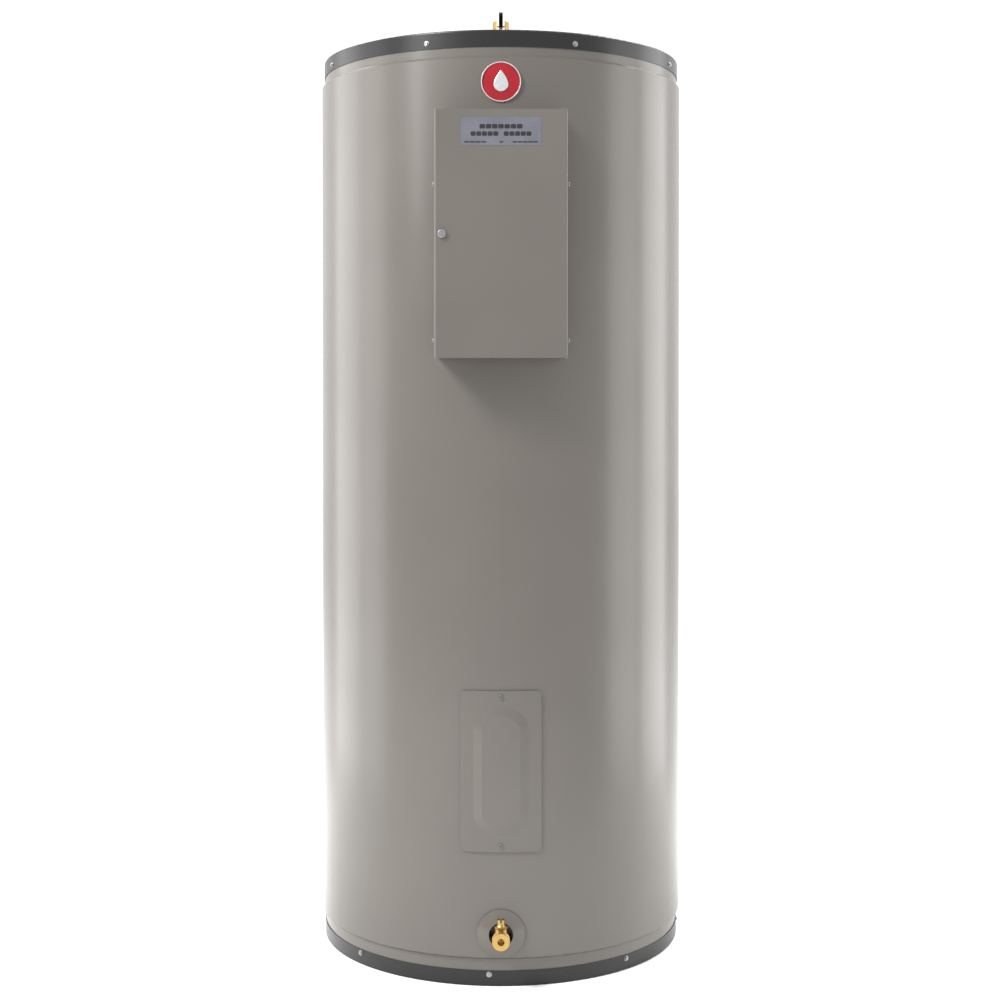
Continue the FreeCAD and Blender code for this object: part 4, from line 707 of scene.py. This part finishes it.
@dataclass
class Screw:
    """One screw, modelled with its seat at the origin and its head along +Z."""

    radius: float
    height: float
    drive: Drive
    shank: float = 1.8 * MM
    length: float = 9.0 * MM

    def head(self, name: str) -> Workpiece:
        """The domed head, or the washer under a hexagon."""
        tall = self.height if self.drive is not Drive.HEX else self.height * 0.3
        add = bpy.ops.mesh.primitive_cylinder_add
        piece = Workpiece(name, add, vertices=32, radius=self.radius, depth=tall, location=(0, 0, tall / 2))
        piece.pick(lambda at, along: at.z > tall * 0.9 and abs(along.z) < 0.1, "EDGE").bevel(tall * 0.55, 5)
        piece.pick(lambda at, normal: normal.z < -FLAT).inset(self.radius - self.shank).extrude(0, 0, -self.length)
        piece.resize((0.3, 0.3, 1.0), (0, 0, 0))
        return piece

    def hexagon(self, name: str) -> Workpiece:
        """The hexagon over the washer, dished in the middle."""
        tall = self.height * 0.85
        add = bpy.ops.mesh.primitive_cylinder_add
        place = (0, 0, self.height * 0.15 + tall / 2)
        piece = Workpiece(name, add, vertices=6, radius=self.radius * 0.72, depth=tall, location=place)
        piece.pick(lambda at, along: at.z > self.height * 0.9, "EDGE").bevel(self.radius * 0.09, 2)
        piece.pick(lambda at, normal: normal.z > FLAT).inset(self.radius * 0.12)
        piece.inset(self.radius * 0.14, -self.height * 0.14)
        return piece

    def cutter(self, turn: float) -> Workpiece:
        """A tapered bar that cuts a slot across the head."""
        long = self.radius * (3.0 if self.drive is Drive.SLOT else 1.15)
        depth = self.height * 0.9
        add = bpy.ops.mesh.primitive_cube_add
        scale = (long, self.radius * 0.26, depth)
        piece = Workpiece("cutter", add, size=1.0, location=(0, 0, self.height), rotation=(0, 0, turn), scale=scale)
        piece.pick(lambda at, normal: normal.z < -0.9).resize((0.8, 0.8, 1.0), (0, 0, 0))
        return piece

    def build(self, name: str) -> Workpiece:
        """Model the screw.

        Args:
            name: The piece's name.

        Returns:
            The piece, still at the origin.
        """
        piece = self.head(name)
        if self.drive is Drive.HEX:
            return piece.joined(self.hexagon(name + "_hexagon"))
        piece.cut(self.cutter(math.radians(20)))
        if self.drive is Drive.CROSS:
            piece.cut(self.cutter(math.radians(110)))
        return piece


# --- Sub-assemblies -------------------------------------------------------------------


@dataclass
class RimScrews:
    """The ring of hexagon screws that holds a pan to the jacket."""

    pan: str
    screws: str
    first_angle: float
    count: int = 8
    screw: Screw = field(default_factory=lambda: Screw(4.5 * MM, 2.6 * MM, Drive.HEX))

    def places(self) -> list[Matrix]:
        """Where the screws stand round the pan's band."""
        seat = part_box(self.pan)[1][0]
        height = middle(self.screws).z
        found = []
        for step in range(self.count):
            angle = math.radians(self.first_angle + step * 360 / self.count)
            out = Vector((math.sin(angle), -math.cos(angle), 0.0))
            found.append(facing(out * seat + Vector((0, 0, height)), out))
        return found

    def build(self, wardrobe: Wardrobe) -> None:
        """Model one screw and set the ring of them."""
        ring = self.screw.build(self.pan + "_rim_screws").repeated(self.places())
        made = ring.finished(wardrobe.get("bright_zinc"), "heater", "zinc")
        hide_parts(self.screws)


@dataclass
class Badge:
    """The thin rim and the plain raised drop on the round badge."""

    rim_width: float = 1.7 * MM
    rim_height: float = 0.7 * MM
    drop_radius: float = 11.5 * MM
    drop_height: float = 1.0 * MM

    def rim(self, wardrobe: Wardrobe) -> None:
        """Model the rim: a ring with rounded edges."""
        low, high = (Vector(corner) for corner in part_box("badge"))
        radius = (high.x - low.x) / 2
        add = bpy.ops.mesh.primitive_cylinder_add
        tall = self.rim_height + 0.6 * MM
        piece = Workpiece("badge_rim", add, vertices=96, radius=radius, depth=tall)
        piece.pick(lambda at, normal: abs(normal.z) > 0.9).inset(self.rim_width)
        piece.pick(lambda at, normal: abs(normal.z) > 0.9 and at.length < radius * 0.6)
        bpy.ops.mesh.bridge_edge_loops()
        piece.pick(lambda at, along: at.z > tall * 0.4 and abs(along.z) < 0.1 and at.xy.length > radius * 0.5, "EDGE")
        piece.bevel(0.3 * MM, 2)
        place = Vector(((low.x + high.x) / 2, low.y + 0.6 * MM - tall / 2, (low.z + high.z) / 2))
        piece.repeated([facing(place, Vector((0, -1, 0)))]).finished(wardrobe.get("polished"), "heater", "badge_metal")

    def drop(self, wardrobe: Wardrobe) -> None:
        """Model the drop: a disc drawn out to a point, raised and rounded."""
        low, high = (Vector(corner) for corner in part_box("badge"))
        size = self.drop_radius
        piece = Workpiece("badge_drop", bpy.ops.mesh.primitive_circle_add, vertices=64, radius=size, fill_type="NGON")
        piece.pick(lambda at, normal: at.y > size * 0.999, "VERT")
        bpy.ops.transform.translate(
            value=(0, size * 0.95, 0),
            use_proportional_edit=True,
            proportional_edit_falloff="SHARP",
            proportional_size=size * 1.5,
        )
        piece.pick(lambda at, normal: True).extrude(0, 0, self.drop_height)
        piece.pick(lambda at, along: at.z > self.drop_height * 0.9, "EDGE").bevel(0.8 * MM, 3)
        place = Vector(((low.x + high.x) / 2, low.y, (low.z + high.z) / 2 - size * 0.35))
        turned = Matrix.Translation(place) @ Matrix.Rotation(math.pi / 2, 4, "X")
        piece.repeated([turned]).finished(wardrobe.get("polished"), "heater", "badge_metal")

    def build(self, wardrobe: Wardrobe) -> None:
        """Model the rim and the drop."""
        self.rim(wardrobe)
        self.drop(wardrobe)


@dataclass
class LabelPrint:
    """The dark bars printed on the plain rating label."""

    thickness: float = 0.06 * MM
    rows: tuple[tuple[float, float, tuple[tuple[float, float, int], ...]], ...] = (
        (0.17, 0.16, ((-0.27, 0.27, 7),)),
        (-0.09, 0.16, ((-0.38, -0.03, 5), (0.03, 0.38, 5))),
        (-0.38, 0.05, ((-0.46, -0.18, 4), (-0.02, 0.03, 1), (0.14, 0.46, 5))),
    )

    def bar(self, place: Sequence[float], size: Sequence[float]) -> Workpiece:
        """Model one bar as a thin block with rounded ends."""
        made = Workpiece("label_print", bpy.ops.mesh.primitive_cube_add, size=1.0, location=place, scale=size)
        return made.pick(lambda at, along: abs(along.y) > 0.9, "EDGE").bevel(min(size[0], size[2]) * 0.25, 2)

    def build(self, wardrobe: Wardrobe) -> None:
        """Set the bars in rows, with a gap after each."""
        low, high = (Vector(corner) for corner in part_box("rating_label"))
        wide, tall = high.x - low.x, high.z - low.z
        centre = middle("rating_label")
        bars = []
        for rise, thick, spans in self.rows:
            for start, end, count in spans:
                step = (end - start) / count
                for index in range(count):
                    across = centre.x + wide * (start + step * (index + 0.5))
                    size = (wide * step * 0.9, 2 * self.thickness, tall * thick)
                    bars.append(self.bar((across, low.y, centre.z + tall * rise), size))
        bars[0].joined(*bars[1:]).finished(wardrobe.get("ink"), "door", "black_plastic")


@dataclass
class DoorLatch:
    """The quarter-turn latch in the door: a ringed head with a slot."""

    recess: float = 0.9 * MM
    slot_width: float = 1.5 * MM

    def build(self, wardrobe: Wardrobe) -> None:
        """Model the head with its recessed face, its slot and its barrel."""
        low, high = (Vector(corner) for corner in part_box("door_latch"))
        radius, door = (high.x - low.x) / 2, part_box("control_box_door")[0][1]
        tall, long = door - low.y, high.y - door
        add = bpy.ops.mesh.primitive_cylinder_add
        piece = Workpiece("latch_head", add, vertices=64, radius=radius, depth=tall, location=(0, 0, tall / 2))
        piece.pick(lambda at, along: at.z > tall * 0.9 and abs(along.z) < 0.1, "EDGE").bevel(0.9 * MM, 4)
        piece.pick(lambda at, normal: normal.z > FLAT).inset(0.9 * MM).inset(0.2 * MM, -self.recess)
        piece.pick(lambda at, normal: normal.z < -FLAT).inset(radius * 0.4).extrude(0, 0, -long)
        place, size = (0, 0, tall - self.recess), (self.slot_width, radius * 1.3, 2 * self.recess)
        slot = Workpiece("cutter", bpy.ops.mesh.primitive_cube_add, size=1.0, location=place, scale=size)
        slot.pick(lambda at, normal: normal.z < -FLAT).resize((0.7, 1.0, 1.0), (0, 0, 0))
        piece.cut(slot)
        place = Vector(((low.x + high.x) / 2, door, (low.z + high.z) / 2))
        turned = Matrix.Translation(place) @ Matrix.Rotation(math.pi / 2, 4, "X")
        made = piece.repeated([turned]).finished(wardrobe.get("bright_zinc"), "latch", "zinc")
        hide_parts("door_latch")


@dataclass
class BoxScrews:
    """The four painted screws in the sides of the control box."""

    radius: float = 4.4 * MM
    height: float = 6.5 * MM

    def build(self, wardrobe: Wardrobe) -> None:
        """Model one screw and set the four of them."""
        low, high = (Vector(corner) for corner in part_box("control_box_screws"))
        places = []
        for side, edge in ((-1, low.x), (1, high.x)):
            for height in (low.z + self.radius, high.z - self.radius):
                place = Vector((edge - side * self.height, (low.y + high.y) / 2, height))
                places.append(facing(place, Vector((side, 0, 0))))
        screw = Screw(self.radius, self.height, Drive.CROSS)
        screws = screw.build("box_side_screws").repeated(places)
        made = screws.finished(wardrobe.get("jacket_paint"), "heater", "jacket_paint")
        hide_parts("control_box_screws")


@dataclass
class CoverScrews:
    """The two painted screws of the lower access cover."""

    cover_rise: float = 3.0 * MM

    def build(self, wardrobe: Wardrobe) -> None:
        """Model one screw and set both."""
        low, high = (Vector(corner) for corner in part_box("lower_cover_screws"))
        radius = (high.x - low.x) / 2
        seat = -(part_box("jacket")[1][0] + self.cover_rise)
        screw = Screw(radius, seat - low.y, Drive.CROSS)
        places = [facing(Vector((0, seat, height)), Vector((0, -1, 0))) for height in (low.z + radius, high.z - radius)]
        screws = screw.build("cover_screws").repeated(places)
        made = screws.finished(wardrobe.get("jacket_paint"), "heater", "jacket_paint")
        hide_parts("lower_cover_screws")


@dataclass
class TerminalScrews:
    """The slotted screws of the terminal block and the contactor."""

    screw: Screw = field(default_factory=lambda: Screw(3.3 * MM, 1.7 * MM, Drive.SLOT, 1.5 * MM, 3.0 * MM))
    post_inset: tuple[float, float, float] = (12.3 * MM, 6.0 * MM, 10.0 * MM)
    post_pitch: tuple[float, float] = (22.67 * MM, 20.0 * MM)
    case_inset: tuple[float, float, float] = (12.0 * MM, 18.0 * MM, 6.5 * MM)
    case_pitch: float = 23.0 * MM

    def places(self) -> list[Matrix]:
        """Where the screws stand on the block's posts and on the contactor's ledges."""
        found = []
        block, (case, top) = Vector(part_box("terminal_block")[0]), (Vector(corner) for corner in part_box("contactor"))
        for column in range(3):
            for row in range(2):
                step = Vector((self.post_pitch[0] * column, 0.0, self.post_pitch[1] * row))
                found.append(facing(block + Vector(self.post_inset) + step, Vector((0, -1, 0))))
            for height in (case.z + self.case_inset[2], top.z - self.case_inset[2]):
                across = case.x + self.case_inset[0] + self.case_pitch * column
                found.append(facing(Vector((across, case.y + self.case_inset[1], height)), Vector((0, -1, 0))))
        return found

    def build(self, wardrobe: Wardrobe) -> None:
        """Model one screw and set the twelve of them."""
        made = self.screw.build("terminal_screws").repeated(self.places())
        made.finished(wardrobe.get("bright_zinc"), "heater", "zinc")


@dataclass
class DialMarks:
    """The raised marks round each thermostat's dial."""

    count: int = 9
    spread: float = 240.0
    radius: float = 12.4 * MM
    size: tuple[float, float, float] = (0.9 * MM, 0.5 * MM, 2.6 * MM)

    def build(self, wardrobe: Wardrobe) -> None:
        """Model a tapered mark and set it round both dials."""
        places = []
        for name in ("upper", "lower"):
            centre = middle(name + "_thermostat_dial")
            centre.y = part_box(name + "_thermostat")[0][1]
            for step in range(self.count):
                angle = math.radians(self.spread * (step / (self.count - 1) - 0.5))
                turn = Matrix.Rotation(angle, 4, "Y")
                places.append(Matrix.Translation(centre) @ turn @ Matrix.Translation((0.0, 0.0, self.radius)))
        mark = Workpiece("dial_marks", bpy.ops.mesh.primitive_cube_add, size=1.0, scale=self.size)
        mark.pick(lambda at, normal: normal.z < -FLAT).resize((0.45, 1.0, 1.0), (0, 0, 0))
        mark.repeated(places).finished(wardrobe.get("dial_plastic"), "heater", "dial_plastic")


@dataclass
class Thread:
    """A thread, as a ridge wound over the outside or the inside of a pipe."""

    name: str
    radius: float
    pitch: float
    turns: int
    slot: str
    ridge: float = 0.45 * MM
    inside: bool = False

    def build(self, wardrobe: Wardrobe, places: Iterable[Matrix]) -> None:
        """Wind the ridge and set it in each place.

        Args:
            wardrobe: Where its finish comes from.
            places: Where each thread starts, with its axis along +Z.
        """
        root = self.radius - (-0.5 if self.inside else 0.5) * self.ridge
        size = self.pitch * 0.5
        turn = (math.pi / 2, math.pi if self.inside else 0.0, 0.0)
        piece = Workpiece(
            self.name, bpy.ops.mesh.primitive_circle_add, vertices=3, radius=size, location=(root, 0, 0), rotation=turn
        )
        piece.pick(lambda at, normal: True, "VERT").resize((2 * self.ridge / size, 1, 1), (root, 0, 0))
        deselect_all()
        piece.wound(self.turns, self.pitch).repeated(list(places))
        piece.finished(wardrobe.get(self.slot), "heater", self.slot)


@dataclass
class Threads:
    """The threads of the pipe nipples, the hose outlet and the relief outlet."""

    pipe_pitch: float = 1.81 * MM
    hose_pitch: float = 2.2 * MM
    nipple_length: float = 16.5 * MM
    hose_length: float = 10.6 * MM
    outlet_length: float = 14.5 * MM
    outlet_drop: float = 47.0 * MM
    outlet_radius: float = 12.2 * MM

    def build(self, wardrobe: Wardrobe) -> None:
        """Wind every thread."""
        pipes = []
        for nipple in ("cold_inlet_nipple", "hot_outlet_nipple"):
            low, high = (Vector(corner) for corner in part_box(nipple))
            pipes.append(Matrix.Translation((middle(nipple).x, middle(nipple).y, high.z - self.nipple_length)))
        Thread("nipple_threads", (high.x - low.x) / 2, self.pipe_pitch, 8, "tank_steel").build(wardrobe, pipes)
        low, high = (Vector(corner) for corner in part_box("drain_valve_body"))
        radius = (high.x - low.x) / 2
        start = Vector((0, low.y + self.hose_length, middle("drain_escutcheon").z))
        Thread("hose_thread", radius, self.hose_pitch, 4, "brass").build(wardrobe, [facing(start, Vector((0, -1, 0)))])
        high = Vector(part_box("relief_valve_body")[1])
        start = Vector((0, high.y - self.outlet_length, high.z - self.outlet_drop))
        outlet = Thread("relief_outlet_thread", self.outlet_radius, self.pipe_pitch, 7, "brass", inside=True)
        outlet.build(wardrobe, [facing(start, Vector((0, 1, 0)))])


def main() -> None:
    """Build the scene piece by piece."""
    logging.basicConfig(level=logging.INFO, format="%(name)s: %(message)s")
    wardrobe = Wardrobe()
    Studio().build()
    wardrobe.dress_nodes()
    RimScrews("top_pan", "top_pan_screws", 22.5).build(wardrobe)
    RimScrews("base_pan", "base_pan_screws", -3.5).build(wardrobe)
    fittings = (Badge, LabelPrint, DoorLatch, BoxScrews, CoverScrews, TerminalScrews, DialMarks, Threads)
    for fitting in fittings:
        fitting().build(wardrobe)


if __name__ == "__main__":
    main()
